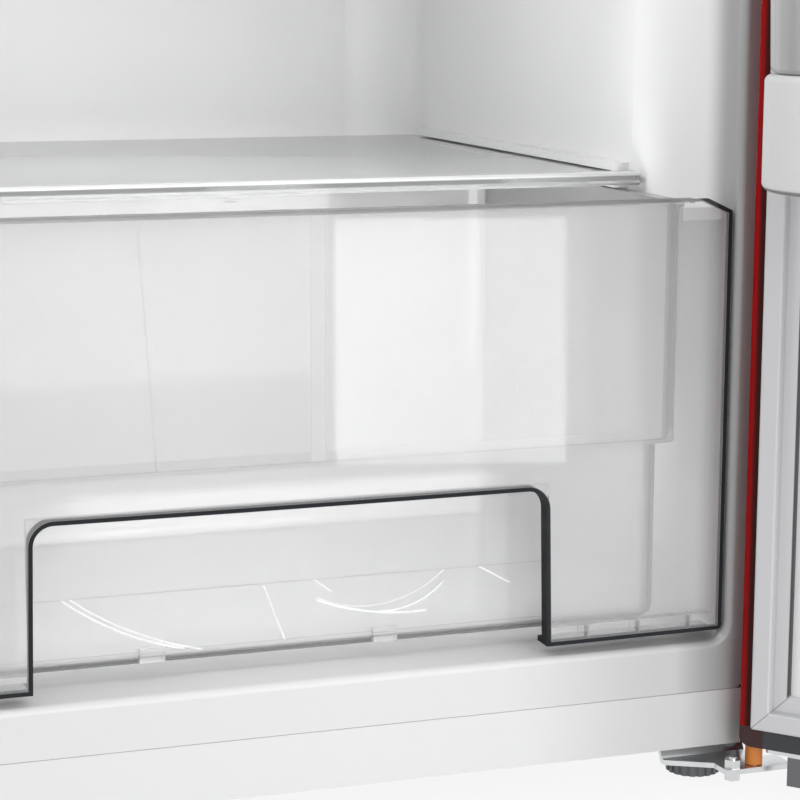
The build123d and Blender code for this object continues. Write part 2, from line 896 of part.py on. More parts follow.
def ledge(half, low, high, reach, corner_r, edge):
    """Hollow shape standing out of a door liner, and the foam that fills it."""
    root = door_face_y - liner_wall
    tip = door_face_y + reach
    with BuildPart() as outside:
        extrude(plan_rect(low, half, root, tip, 0, corner_r), amount=high - low)
        fillet(outside.faces().sort_by(Axis.Y)[-1].edges().filter_by(Axis.X), edge)
    wall = liner_wall
    with BuildPart() as inside:
        extrude(
            plan_rect(low + wall, half - wall, root, tip - wall, 0, corner_r - wall),
            amount=high - low - 2 * wall,
        )
    return outside.part, inside.part


def door_liner(low, high, pocket, ledges):
    """Moulded inner face of a door with its ledges and, below, its shallow pocket."""
    half = half_width - skin_fold - gasket_inset - slip
    root = door_face_y - liner_wall
    with BuildPart() as face:
        base = front_rect(root, half, low + cap_height + slip, high - cap_height - slip, 2)
        extrude(base, amount=-liner_wall)
        for outside, inside in ledges:
            add(outside)
        if pocket:
            extrude(
                front_rect(
                    root - pocket_depth,
                    pocket_half + liner_wall,
                    pocket_low - liner_wall,
                    pocket_high + liner_wall,
                    10,
                ),
                amount=-pocket_depth,
            )
            extrude(
                front_rect(
                    root - pocket_depth + liner_wall,
                    pocket_half,
                    pocket_low,
                    pocket_high,
                    8,
                ),
                amount=-pocket_depth - liner_wall,
                mode=Mode.SUBTRACT,
            )
        for outside, inside in ledges:
            add(inside, mode=Mode.SUBTRACT)
    return face.part


def door_foam(low, high, top_r, pocket, ledges):
    """Foam between the skin and the inner face of a door."""
    root = door_face_y - liner_wall
    span = 2 * cabinet_width
    with BuildPart() as fill:
        add(door_block(low, high, top_r, skin))
        add(
            block_between((-span, root, 0), (span, span, span + cabinet_top)),
            mode=Mode.SUBTRACT,
        )
        if pocket:
            extrude(
                front_rect(
                    root - pocket_depth,
                    pocket_half + liner_wall,
                    pocket_low - liner_wall,
                    pocket_high + liner_wall,
                    10,
                ),
                amount=-pocket_depth,
                mode=Mode.SUBTRACT,
            )
        for outside, inside in ledges:
            add(inside)
        add(slab(low + cap_height, high - cap_height), mode=Mode.INTERSECT)
    return fill.part


def handle(low, length, block):
    """Cast pull handle: a bowed bar on two posts that stand on the curved face."""
    x = handle_inset - half_width
    reach = door_face_y - door_side_depth - handle_reach
    with BuildPart() as grip:
        with BuildLine(Plane.YZ.offset(x)) as path:
            ThreePointArc(
                (reach + 7, low),
                (reach, low + length / 2),
                (reach + 7, low + length),
            )
        start = Plane(origin=path.line @ 0, x_dir=(1, 0, 0), z_dir=path.line % 0)
        with BuildSketch(start):
            Ellipse(handle_half_width, handle_thickness / 2)
        sweep()
        for end in (low + 22, low + length - 22):
            with BuildSketch(Plane.XZ.offset(-reach - 4)):
                with Locations((x, end)):
                    Circle(post_r)
            extrude(amount=-handle_reach - 20)
        add(block, mode=Mode.SUBTRACT)
    return grip.part


def swung(piece):
    """The shut door's piece turned to the angle the lower door stands open at."""
    return piece.rotate(hinge_axis, door_open)


def bin_box(floor, height, reach, half, corner_r, draft):
    """Clear bin with rounded corners towards the cabinet."""
    front = door_face_y + slip
    rear = door_face_y + reach
    top = floor + height
    return tray(half, front, rear, floor, top, bin_wall, 4, corner_r, 3.6, draft)


def slotted(piece, places):
    """The bin with slots in its rear wall where the liner's lugs pass through."""
    for x, low in places:
        for side in (-1, 1):
            piece -= block_between(
                (side * x - lug_width / 2 - slip, door_face_y - 1, low - slip),
                (side * x + lug_width / 2 + slip, door_face_y + 5, low + lug_height + slip),
            )
    return piece


def hinge_leaf(height, thick, places, radius):
    """Flat leaf that narrows from its screws to the nose round the pin."""
    with BuildPart() as leaf:
        with BuildSketch(Plane.XY.offset(height)):
            with Locations(*places):
                Circle(radius)
            with Locations((pin_x, pin_y)):
                Circle(hinge_nose_r + radius - bolt_head_r - 2.5)
            make_hull()
        extrude(amount=thick)
    return leaf.part


# Lower door, drawn shut and then swung open.
fridge_ledges = [
    ledge(ledge_half, ledge_low, ledge_high, ledge_reach, ledge_corner_r, 4),
    ledge(dyke_half, dyke_low, dyke_high, dyke_reach, small_ledge_r, 4),
]
fridge_face = door_liner(door_low, door_top, True, fridge_ledges)
for x, low in lugs:
    for side in (-1, 1):
        fridge_face += block_between(
            (side * x - lug_width / 2, door_face_y - liner_wall, low),
            (side * x + lug_width / 2, door_face_y + lug_reach, low + lug_height),
        )

with BuildPart() as door_bush:
    with BuildSketch(Plane.XY.offset(foot_height - hinge_drop + hinge_gap)):
        with Locations((pin_x, pin_y)):
            Circle(bush_r)
            Circle(pin_r + pin_play, mode=Mode.SUBTRACT)
    extrude(amount=door_low + cap_height - foot_height + hinge_drop - hinge_gap)

with BuildPart() as stop_plate:
    with BuildSketch(Plane.XY.offset(door_low - 2.5)):
        with Locations((bolt_x + 3, pin_y - 5.5)):
            RectangleRounded(44, 22, 3)
    extrude(amount=2.5)
    add(block_between(
        (pin_x - 31.5, pin_y + 3, stop_low), (pin_x - 22.5, pin_y + 5.5, door_low - 1)
    ))

dairy_y, dairy_z = dairy_pivot
with BuildPart() as dairy_box:
    add(tray(
        dairy_half,
        door_face_y + slip,
        door_face_y + dairy_reach,
        dairy_low,
        dairy_high,
        bin_wall,
        4,
        14,
        3.6,
        1,
    ))
    for side in (-1, 1):
        edge_x = side * (dairy_half - bin_wall / 2)
        with BuildSketch(Plane.YZ.offset(edge_x - bin_wall / 2)):
            with Locations((dairy_y, dairy_z)):
                Circle(6)
            with Locations((dairy_y, dairy_high - 3)):
                Rectangle(12, dairy_z - dairy_high + 3, align=(Align.CENTER, Align.MIN))
            with Locations((dairy_y, dairy_z)):
                Circle(dairy_pin_r + 0.1, mode=Mode.SUBTRACT)
        extrude(amount=bin_wall)

lid_half = dairy_half - bin_wall - lid_gap
with BuildPart() as dairy_lid:
    with BuildSketch(Plane.YZ.offset(-lid_half)):
        with BuildLine():
            ThreePointArc(
                (dairy_y, dairy_z + 2.5),
                (dairy_y + 34, dairy_z + 1.5),
                (dairy_y + 58, dairy_z - 9),
            )
        trace(line_width=2)
        with Locations((dairy_y, dairy_z)):
            Circle(dairy_barrel_r)
    extrude(amount=2 * lid_half)
    with BuildSketch(Plane.YZ.offset(-dairy_half + 0.3)):
        with Locations((dairy_y, dairy_z)):
            Circle(dairy_pin_r)
    extrude(amount=2 * dairy_half - 0.6)

low_bin, mid_bin = [
    bin_box(floor, bin_height, bin_reach, bin_half, bin_corner_r, bin_draft)
    for floor in bin_floors
]
low_pieces = {
    "fridge_door_skin": door_skin(door_low, door_top, door_corner_r),
    "fridge_door_foam": door_foam(door_low, door_top, door_corner_r, True, fridge_ledges),
    "fridge_door_liner": fridge_face,
    "fridge_door_gasket": door_gasket(door_low, door_top),
    "fridge_door_cap_low": door_cap(door_low, door_top, door_corner_r, False, bush_r),
    "fridge_door_cap_top": door_cap(
        door_low, door_top, door_corner_r, True, pin_r + pin_play
    ),
    "fridge_door_handle": handle(
        door_handle_low,
        door_handle_length,
        door_block(door_low, door_top, door_corner_r, 0),
    ),
    "fridge_door_bush": door_bush.part,
    "door_stop_plate": stop_plate.part,
    "door_bin_low": low_bin,
    "door_bin_mid": slotted(mid_bin, lugs[:1]),
    "dairy_box": slotted(dairy_box.part, lugs[1:]),
    "dairy_lid": dairy_lid.part,
}
for name, piece in low_pieces.items():
    piece = swung(piece)
    piece.label = name
    export_step(piece, "parts/" + name + ".step")

# Freezer door, shut.
freezer_ledges = [
    ledge(pocket_half, *freezer_ledge, freezer_reach, small_ledge_r, 4),
]
freezer_pieces = {
    "freezer_door_skin": door_skin(freezer_low, freezer_top, shoulder_r),
    "freezer_door_foam": door_foam(
        freezer_low, freezer_top, shoulder_r, False, freezer_ledges
    ),
    "freezer_door_liner": door_liner(freezer_low, freezer_top, False, freezer_ledges),
    "freezer_door_gasket": door_gasket(freezer_low, freezer_top),
    "freezer_door_cap_low": door_cap(
        freezer_low, freezer_top, shoulder_r, False, pin_r + pin_play
    ),
    "freezer_door_cap_top": door_cap(
        freezer_low, freezer_top, shoulder_r, True, pin_r + pin_play
    ),
    "freezer_door_handle": handle(
        freezer_handle_low,
        freezer_handle_length,
        door_block(freezer_low, freezer_top, shoulder_r, 0),
    ),
    "freezer_door_bin": bin_box(
        freezer_bin_floor,
        freezer_bin_height,
        freezer_reach + 6,
        pocket_half,
        freezer_bin_r,
        1,
    ),
}
for name, piece in freezer_pieces.items():
    piece.label = name
    export_step(piece, "parts/" + name + ".step")

# Lower hinge: a joggled bracket under the cabinet with the pin the door stands on.
tongue_top = foot_height - hinge_drop
tongue_front = pin_y - hinge_nose_r
leaf_left = bolt_x - 13
with BuildPart() as hinge_lower:
    with BuildSketch(Plane.YZ.offset(leaf_left)):
        with BuildLine():
            Polyline(
                (tongue_front, tongue_top - hinge_plate / 2),
                (hinge_step, tongue_top - hinge_plate / 2),
                (hinge_step + 5, foot_height - hinge_plate / 2),
                (bolt_line + 9, foot_height - hinge_plate / 2),
            )
        trace(line_width=hinge_plate)
    extrude(amount=half_width + tongue_overhang - leaf_left)
    # outline seen from above: slanted in front, with a recess that clears the door's stop
    with BuildSketch(Plane.XY) as outline:
        with BuildLine():
            Polyline(
                (leaf_left, bolt_line + 9),
                (leaf_left, 6),
                (pin_x - 21.3, pin_y + 7.5),
                (pin_x - 20.5, tongue_front),
                (half_width + tongue_overhang, tongue_front),
                (half_width + tongue_overhang, -5),
                (half_width - 1, -5),
                (half_width - 1, bolt_line + 9),
                close=True,
            )
        make_face()
        fillet(outline.vertices().group_by(Axis.Y)[0], 3)
    extrude(amount=2 * foot_height, mode=Mode.INTERSECT)
    with BuildSketch(Plane.XY):
        with Locations((foot_x, foot_inset_y)):
            Circle(foot_stem_r + slip)
        with Locations(*low_bolts):
            Circle(bolt_r + pin_play)
        with Locations((stop_bolt_x, stop_bolt_y)):
            Circle(stop_bolt_r)
    extrude(amount=2 * foot_height, mode=Mode.SUBTRACT)
    with BuildSketch(Plane.XY.offset(tongue_top - hinge_plate)):
        with Locations((pin_x, pin_y)):
            Circle(pin_r)
    extrude(amount=door_low + pin_grip - tongue_top + hinge_plate)
hinge_lower.part.label = "hinge_lower"
export_step(hinge_lower.part, "parts/hinge_lower.step")

# Screw and nut through the tongue beside the pin.
with BuildPart() as tongue_bolt:
    with BuildSketch(Plane.XY.offset(tongue_top - hinge_plate)):
        with Locations((stop_bolt_x, stop_bolt_y)):
            RegularPolygon(5, 6)
    extrude(amount=-bolt_head)
    with BuildSketch(Plane.XY.offset(tongue_top - hinge_plate - 1)):
        with Locations((stop_bolt_x, stop_bolt_y)):
            Circle(stop_bolt_r)
    extrude(amount=hinge_plate + 7.5)
    with BuildSketch(Plane.XY.offset(tongue_top)):
        with Locations((stop_bolt_x, stop_bolt_y)):
            RegularPolygon(5, 6)
    extrude(amount=5)
tongue_bolt.part.label = "tongue_bolt"
export_step(tongue_bolt.part, "parts/tongue_bolt.step")

# Middle hinge: a leaf between the doors on a flange screwed to the rail.
with BuildPart() as hinge_middle:
    leaf_low = door_split - hinge_plate / 2
    with BuildSketch(Plane.XY.offset(leaf_low)):
        with Locations((bolt_x - 7, -1.2), (bolt_x + 23, -1.2)):
            Circle(1.2)
        with Locations((pin_x, pin_y)):
            Circle(hinge_nose_r)
        make_hull()
    extrude(amount=hinge_plate)
    flange_span = mullion[1] - mullion[0] - 8
    with BuildSketch(Plane.XZ):
        with Locations((bolt_x + 7, door_split)):
            RectangleRounded(34, flange_span, 3)
        with Locations(*mid_bolts):
            Circle(bolt_r + pin_play, mode=Mode.SUBTRACT)
    extrude(amount=hinge_plate)
    with Locations((pin_x, pin_y, door_split)):
        Cylinder(pin_r, door_gap + 2 * pin_grip)
hinge_middle.part.label = "hinge_middle"
export_step(hinge_middle.part, "parts/hinge_middle.step")

# Top hinge: a leaf on the cabinet's top, under a moulded cover.
with BuildPart() as hinge_top:
    add(hinge_leaf(cabinet_top, hinge_plate, top_bolts, bolt_head_r + 2.5))
    with BuildSketch(Plane.XY):
        with Locations(*top_bolts):
            Circle(bolt_r + pin_play)
    extrude(amount=2 * cabinet_top, mode=Mode.SUBTRACT)
    with Locations((pin_x, pin_y, cabinet_top + hinge_plate)):
        Cylinder(
            pin_r,
            hinge_plate + door_gap / 2 + pin_grip,
            align=(Align.CENTER, Align.CENTER, Align.MAX),
        )
hinge_top.part.label = "hinge_top"
export_step(hinge_top.part, "parts/hinge_top.step")

with BuildPart() as hinge_cover:
    add(hinge_leaf(cabinet_top, 13, top_bolts, bolt_head_r + 4.5))
    fillet(hinge_cover.faces().sort_by(Axis.Z)[-1].edges(), 4)
    add(
        hinge_leaf(cabinet_top, 11.5, top_bolts, bolt_head_r + 3),
        mode=Mode.SUBTRACT,
    )
hinge_cover.part.label = "hinge_cover"
export_step(hinge_cover.part, "parts/hinge_cover.step")

with BuildPart() as hinge_bolts:
    for plane, places in (
        (Plane.XY.offset(foot_height - hinge_plate), low_bolts),
        (Plane.XZ.offset(hinge_plate), mid_bolts),
        (Plane.XY.offset(cabinet_top + hinge_plate), top_bolts),
    ):
        # the low screws point up, the others point down or back
        head = -bolt_head if places is low_bolts else bolt_head
        with BuildSketch(plane):
            with Locations(*places):
                RegularPolygon(bolt_head_r, 6)
        extrude(amount=head)
        with BuildSketch(plane):
            with Locations(*places):
                Circle(bolt_r)
        extrude(amount=-bolt_length * head / bolt_head)
hinge_bolts.part.label = "hinge_bolts"
export_step(hinge_bolts.part, "parts/hinge_bolts.step")

# Feet: two screw feet in front, two fixed pads behind.
for name, x in (("foot_left", -foot_x), ("foot_right", foot_x)):
    with BuildPart() as foot:
        with BuildSketch():
            with Locations((x, foot_inset_y)):
                Circle(foot_r)
                with PolarLocations(foot_r, 20):
                    RegularPolygon(1.5, 3, mode=Mode.SUBTRACT)
        extrude(amount=foot_disc)
        with BuildSketch(Plane.XY.offset(foot_disc)):
            with Locations((x, foot_inset_y)):
                Circle(foot_stem_r)
        extrude(amount=foot_stem_top - foot_disc)
    foot.part.label = name
    export_step(foot.part, "parts/" + name + ".step")

with BuildPart() as rear_feet:
    with Locations((-foot_x, rear_foot_y, 0), (foot_x, rear_foot_y, 0)):
        Cylinder(rear_foot_r, foot_height - 3, align=(Align.CENTER, Align.CENTER, Align.MIN))
        Cylinder(9, foot_height, align=(Align.CENTER, Align.CENTER, Align.MIN))
    chamfer(rear_feet.faces().sort_by(Axis.Z)[0].edges(), 1.5)
rear_feet.part.label = "rear_feet"
export_step(rear_feet.part, "parts/rear_feet.step")

# Control box at the fresh-food ceiling, with its lamp, dial and door switch.
ceiling = fridge_inside[1]
housing_floor = ceiling - housing_drop
housing_rear = housing_front + housing_length
lens_half = 30.0
lens_front = 130.0
lens_rear = 200.0
plunger_z = ceiling - 23
with BuildPart() as control_housing:
    add(plan_extrude(housing_floor, ceiling, housing_half, housing_front, housing_rear, 10))
    fillet(control_housing.faces().sort_by(Axis.Z)[0].edges(), 3)
    add(
        plan_extrude(
            housing_floor + housing_wall,
            ceiling,
            housing_half - housing_wall,
            housing_front + housing_wall,
            housing_rear - housing_wall,
            10 - housing_wall,
        ),
        mode=Mode.SUBTRACT,
    )
    add(
        plan_extrude(housing_floor - 1, ceiling, lens_half, lens_front, lens_rear, 5),
        mode=Mode.SUBTRACT,
    )
    with Locations((dial_x, dial_y, housing_floor)):
        Cylinder(stem_r + pin_play, 20, mode=Mode.SUBTRACT)
    with Locations((plunger_x, housing_front, plunger_z)):
        Box(
            2 * (plunger_half + plunger_play),
            20,
            2 * (plunger_half + plunger_play),
            mode=Mode.SUBTRACT,
        )
control_housing.part.label = "control_housing"
export_step(control_housing.part, "parts/control_housing.step")

with BuildPart() as lamp_lens:
    add(plan_extrude(
        housing_floor - 6,
        housing_floor + housing_wall,
        lens_half,
        lens_front,
        lens_rear,
        5,
    ))
    fillet(lamp_lens.faces().sort_by(Axis.Z)[0].edges(), 2.4)
    add(
        plan_extrude(
            housing_floor - 4,
            housing_floor + housing_wall,
            lens_half - 2,
            lens_front + 2,
            lens_rear - 2,
            3,
        ),
        mode=Mode.SUBTRACT,
    )
lamp_lens.part.label = "lamp_lens"
export_step(lamp_lens.part, "parts/lamp_lens.step")

lamp_z = ceiling - 17
with BuildPart() as lamp:
    with BuildSketch(Plane.YZ) as half_section:
        with BuildLine():
            Polyline((150, lamp_z), (224, lamp_z), (224, lamp_z + 11), (208, lamp_z + 11))
            Polyline((208, lamp_z + 11), (208, lamp_z + 7), (194, lamp_z + 7))
            Spline(
                (194, lamp_z + 7),
                (180, lamp_z + 12),
                (165, lamp_z + 12.5),
                (154, lamp_z + 7),
                (150, lamp_z),
            )
        make_face()
    revolve(axis=Axis((0, 0, lamp_z), (0, 1, 0)))
    add(block_between((-9, 208, lamp_z), (9, 224, ceiling)))
lamp.part.label = "lamp"
export_step(lamp.part, "parts/lamp.step")

with BuildPart() as control_dial:
    with BuildSketch(Plane.XY.offset(housing_floor - slip - dial_depth)):
        with Locations((dial_x, dial_y)):
            Circle(dial_r)
            with PolarLocations(dial_r + 1, 12):
                Circle(2.2, mode=Mode.SUBTRACT)
    extrude(amount=dial_depth)
    with BuildSketch(Plane.XY.offset(housing_floor - slip)):
        with Locations((dial_x, dial_y)):
            Circle(stem_r)
    extrude(amount=16)
control_dial.part.label = "control_dial"
export_step(control_dial.part, "parts/control_dial.step")

plunger_tip = door_face_y + dyke_reach + slip - plunger_travel
with BuildPart() as door_switch:
    with BuildSketch(Plane.XZ.offset(-plunger_tip)):
        with Locations((plunger_x, plunger_z)):
            RectangleRounded(2 * plunger_half, 2 * plunger_half, 1)
    extrude(amount=-(housing_front - plunger_tip + 16))
door_switch.part.label = "door_switch"
export_step(door_switch.part, "parts/door_switch.step")

# Freezer compartment: wire shelf and the cold plate on the rear wall.
frame_r = 2.2
wire_z = freezer_shelf_level + frame_r + 0.1
with BuildPart() as freezer_shelf:
    with BuildLine(Plane.XY.offset(wire_z)) as loop:
        corner = 12.0
        left, right = -glass_half + frame_r, glass_half - frame_r
        near, far = shelf_front + 8, shelf_rear - 4
        FilletPolyline(
            (left, near),
            (right, near),
            (right, far),
            (left, far),
            radius=corner,
            close=True,
        )
    start = Plane(origin=loop.line @ 0, z_dir=loop.line % 0)
    with BuildSketch(start):
        Circle(frame_r)
    sweep()
    for step in range(-6, 7):
        with Locations((step * (glass_half - 36.5) / 6, near, wire_z)):
            Cylinder(
                wire,
                far - near,
                rotation=(-90, 0, 0),
                align=(Align.CENTER, Align.CENTER, Align.MIN),
            )
freezer_shelf.part.label = "freezer_shelf"
export_step(freezer_shelf.part, "parts/freezer_shelf.step")

with BuildPart() as cold_plate:
    stand = 4.0
    plate_y = rear_wall_y - stand - plate_thick
    extrude(
        front_rect(plate_y, plate_half, plate_low, plate_high, 8),
        amount=-plate_thick,
    )
    rows = 6
    row_pitch = (plate_high - plate_low - 60) / (rows - 1)
    for row in range(rows):
        z = plate_low + 30 + row_pitch * row
        add(block_between(
            (25 - plate_half, plate_y - 2, z - 4), (plate_half - 25, plate_y, z + 4)
        ))
        if row < rows - 1:
            side = 1 if row % 2 == 0 else -1
            end = side * (plate_half - 29)
            add(block_between((end - 4, plate_y - 2, z), (end + 4, plate_y, z + row_pitch)))
    for x in (-plate_half + 14, plate_half - 14):
        for z in (plate_low + 14, plate_high - 14):
            with Locations((x, plate_y, z)):
                Cylinder(
                    5,
                    stand + plate_thick,
                    rotation=(-90, 0, 0),
                    align=(Align.CENTER, Align.CENTER, Align.MIN),
                )
cold_plate.part.label = "cold_plate"
export_step(cold_plate.part, "parts/cold_plate.step")

# Machine bay: cross rail, compressor on rubber mounts, drip tray above it.
with BuildPart() as compressor_rail:
    with BuildSketch(Plane.YZ.offset(sheet - half_width)):
        with BuildLine():
            Polyline(
                (rail_front_y, foot_height + rail_edge),
                (rail_front_y, foot_height + rail_sheet / 2),
                (rail_rear_y, foot_height + rail_sheet / 2),
                (rail_rear_y, foot_height + rail_edge),
            )
        trace(line_width=rail_sheet)
    extrude(amount=cabinet_width - 2 * sheet)
compressor_rail.part.label = "compressor_rail"
export_step(compressor_rail.part, "parts/compressor_rail.step")

pot_low = foot_height + rail_sheet + pot_clearance
leg_x = 78.0
leg_y = 42.0
leg_spots = [
    (pot_x + side * leg_x, pot_y + end * leg_y) for side in (-1, 1) for end in (-1, 1)
]
with BuildPart() as compressor:
    with Locations((pot_x, pot_y, pot_low)):
        Cylinder(pot_r - 1, pot_height, align=(Align.CENTER, Align.CENTER, Align.MIN))
    fillet(compressor.faces().sort_by(Axis.Z)[-1].edges(), 34)
    fillet(compressor.faces().sort_by(Axis.Z)[0].edges(), 20)
    with Locations((pot_x, pot_y, pot_low + 64)):
        Cylinder(pot_r + 2, 4, align=(Align.CENTER, Align.CENTER, Align.MIN))
    for end in (-1, 1):
        with BuildSketch(Plane.XY.offset(pot_low)):
            with Locations((pot_x, pot_y + end * leg_y)):
                RectangleRounded(2 * leg_x + 24, 22, 6)
        extrude(amount=3)
    with BuildSketch(Plane.XY.offset(pot_low)):
        with Locations(*leg_spots):
            Circle(5)
    extrude(amount=3, mode=Mode.SUBTRACT)
compressor.part.label = "compressor"
export_step(compressor.part, "parts/compressor.step")

with BuildPart() as compressor_mounts:
    with Locations(*[(x, y, foot_height + rail_sheet) for x, y in leg_spots]):
        Cylinder(9, pot_clearance, align=(Align.CENTER, Align.CENTER, Align.MIN))
        Cylinder(4.9, pot_clearance + 5, align=(Align.CENTER, Align.CENTER, Align.MIN))
    with Locations(*[(x, y, pot_low + 3) for x, y in leg_spots]):
        Cylinder(8, 3, align=(Align.CENTER, Align.CENTER, Align.MIN))
compressor_mounts.part.label = "compressor_mounts"
export_step(compressor_mounts.part, "parts/compressor_mounts.step")

relay_end = pot_x - 93
with BuildPart() as relay_cover:
    add(block_between((relay_end, pot_y - 24, 88), (pot_x, pot_y + 24, 102)))
    with Locations((pot_x, pot_y, 0)):
        Cylinder(
            pot_r - 1,
            400,
            align=(Align.CENTER, Align.CENTER, Align.MIN),
            mode=Mode.SUBTRACT,
        )
    add(block_between((relay_end, pot_y - 24, 60), (relay_end + 26, pot_y + 24, 101)))
    fillet(relay_cover.edges().filter_by(Axis.Z).group_by(Axis.X)[0], 5)
relay_cover.part.label = "relay_cover"
export_step(relay_cover.part, "parts/relay_cover.step")

drip_low = pot_low + pot_height
drip = tray(60, pot_y - 52, pot_y + 56, drip_low, drip_low + 22, 2, 16, 16, 5, 3)
drip_tray = drip.translate((pot_x, 0, 0))
drip_tray.label = "drip_tray"
export_step(drip_tray, "parts/drip_tray.step")

# Condenser: a bent tube with upright wires, standing off the back panel.
coil_y = cabinet_depth + coil_stand + coil_tube_r
coil_top = coil_low + coil_pitch * (coil_runs - 1)
with BuildPart() as condenser:
    with BuildLine(Plane.XZ.offset(-coil_y)) as serpentine:
        for run in range(coil_runs):
            z = coil_low + coil_pitch * run
            side = 1 if run % 2 == 0 else -1
            Line((-side * coil_half, z), (side * coil_half, z))
            if run < coil_runs - 1:
                ThreePointArc(
                    (side * coil_half, z),
                    (side * (coil_half + coil_pitch / 2), z + coil_pitch / 2),
                    (side * coil_half, z + coil_pitch),
                )
    start = Plane(origin=serpentine.line @ 0, z_dir=serpentine.line % 0)
    with BuildSketch(start):
        Circle(coil_tube_r)
    sweep()
    with Locations((0, coil_y + coil_tube_r, (coil_low + coil_top) / 2)):
        with GridLocations(2 * (coil_half - 15) / (wire_columns - 1), 1, wire_columns, 1):
            Box(wire, 2 * wire, coil_top - coil_low + 24)
    for x in (-coil_half + 30, coil_half - 30):
        for z in (coil_low + coil_pitch, coil_top - coil_pitch):
            add(block_between(
                (x - 7, cabinet_depth, z - 9), (x + 7, coil_y + 1, z + 9)
            ))
condenser.part.label = "condenser"
export_step(condenser.part, "parts/condenser.step")

# Pipes of the cooling circuit, with the dryer in the liquid line.
pipe_x = coil_half + coil_pitch / 2 + 6
low_z = bay_top - 112
high_z = bay_top - 30
dryer_y = pot_y - 28
with BuildPart() as pipes:
    for points in (
        (
            (pot_x - 30, pot_y - 46, low_z),
            (-pipe_x, pot_y - 46, low_z),
            (-pipe_x, coil_y, low_z),
            (-pipe_x, coil_y, coil_low),
            (-coil_half, coil_y, coil_low),
        ),
        (
            (coil_half, coil_y, coil_top),
            (pipe_x, coil_y, coil_top),
            (pipe_x, coil_y, high_z),
            (pipe_x, dryer_y + 72, high_z),
        ),
        (
            (pot_x + 30, pot_y - 46, low_z),
            (pot_x + 105, pot_y - 46, low_z),
            (pot_x + 105, pot_y - 46, bay_top - sheet / 2),
        ),
        (
            (pipe_x, dryer_y, high_z),
            (pipe_x, dryer_y - 33, high_z),
            (pipe_x, dryer_y - 33, bay_top - sheet / 2),
        ),
    ):
        with BuildLine() as route:
            FilletPolyline(*points, radius=9)
        with BuildSketch(Plane(origin=route.line @ 0, z_dir=route.line % 0)):
            Circle(coil_tube_r)
        sweep(path=route.line)
    with Locations((pipe_x, dryer_y, high_z)):
        Cylinder(
            8,
            72,
            rotation=(-90, 0, 0),
            align=(Align.CENTER, Align.CENTER, Align.MIN),
        )
    add(compressor.part, mode=Mode.SUBTRACT)
pipes.part.label = "refrigerant_pipes"
export_step(pipes.part, "parts/refrigerant_pipes.step")

# Mains inlet on the front wall of the machine bay.
inlet_y = bay_front + sheet / 2
with BuildPart() as power_inlet:
    add(block_between((-180, inlet_y, 90), (-132, inlet_y + 3, 126)))
    add(block_between((-172, inlet_y, 94), (-140, inlet_y + 18, 122)))
    fillet(power_inlet.edges().filter_by(Axis.Y), 3)
    add(
        block_between((-169, inlet_y + 4, 97), (-143, inlet_y + 19, 119)),
        mode=Mode.SUBTRACT,
    )
    for x, z in ((-163, 105), (-156, 111), (-149, 105)):
        add(block_between((x - 1, inlet_y + 3, z - 3), (x + 1, inlet_y + 14, z + 3)))
power_inlet.part.label = "power_inlet"
export_step(power_inlet.part, "parts/power_inlet.step")
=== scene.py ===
import bpy
import math
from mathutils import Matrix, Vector

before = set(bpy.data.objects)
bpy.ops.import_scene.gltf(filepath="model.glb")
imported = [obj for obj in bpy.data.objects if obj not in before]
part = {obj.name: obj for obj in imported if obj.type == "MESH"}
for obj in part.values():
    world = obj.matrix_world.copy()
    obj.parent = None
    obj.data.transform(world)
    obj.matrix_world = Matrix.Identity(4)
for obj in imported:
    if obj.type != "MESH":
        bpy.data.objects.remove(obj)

bpy.context.scene.view_settings.view_transform = "Standard"
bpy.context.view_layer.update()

# The viewer stands in front, left of the middle, and looks down a little into the foot of
# the open fresh-food compartment. A long lens keeps the drawer's edges nearly parallel.
eye = (-0.3504, -1.1689, 0.4590)
pitch, roll, heading = 79.875, -0.191, -19.147
focal_length = 105.3
lens = bpy.data.cameras.new("viewer")
lens.sensor_width = 36.0
lens.lens = focal_length
lens.clip_start = 0.05
viewer = bpy.data.objects.new("viewer", lens)
bpy.context.scene.collection.objects.link(viewer)
viewer.location = eye
viewer.rotation_euler = [math.radians(angle) for angle in (pitch, roll, heading)]
bpy.context.scene.camera = viewer


# A plain pale studio: a bright even room over a wide white floor that keeps a little of
# the refrigerator's shadow. Seen straight, in metal or through clear walls, both are white.
def seen_directly(tree):
    ray = tree.nodes.new("ShaderNodeLightPath")
    share = ray.outputs["Is Camera Ray"]
    for kind in ("Is Glossy Ray", "Is Transmission Ray"):
        step = tree.nodes.new("ShaderNodeMath")
        step.operation = "MAXIMUM"
        tree.links.new(share, step.inputs[0])
        tree.links.new(ray.outputs[kind], step.inputs[1])
        share = step.outputs[0]
    return share


room_strength = 0.52
room = bpy.data.worlds.new("room")
bpy.context.scene.world = room
room.use_nodes = True
nodes, links = room.node_tree.nodes, room.node_tree.links
nodes.clear()
room_out = nodes.new("ShaderNodeOutputWorld")
room_light = nodes.new("ShaderNodeBackground")
room_light.inputs["Color"].default_value = (0.98, 0.99, 1.0, 1)
room_light.inputs["Strength"].default_value = room_strength
room_seen = nodes.new("ShaderNodeBackground")
room_seen.inputs["Color"].default_value = (1, 1, 1, 1)
room_seen.inputs["Strength"].default_value = 1.0
room_pick = nodes.new("ShaderNodeMixShader")
links.new(seen_directly(room.node_tree), room_pick.inputs[0])
links.new(room_light.outputs[0], room_pick.inputs[1])
links.new(room_seen.outputs[0], room_pick.inputs[2])
links.new(room_pick.outputs[0], room_out.inputs["Surface"])

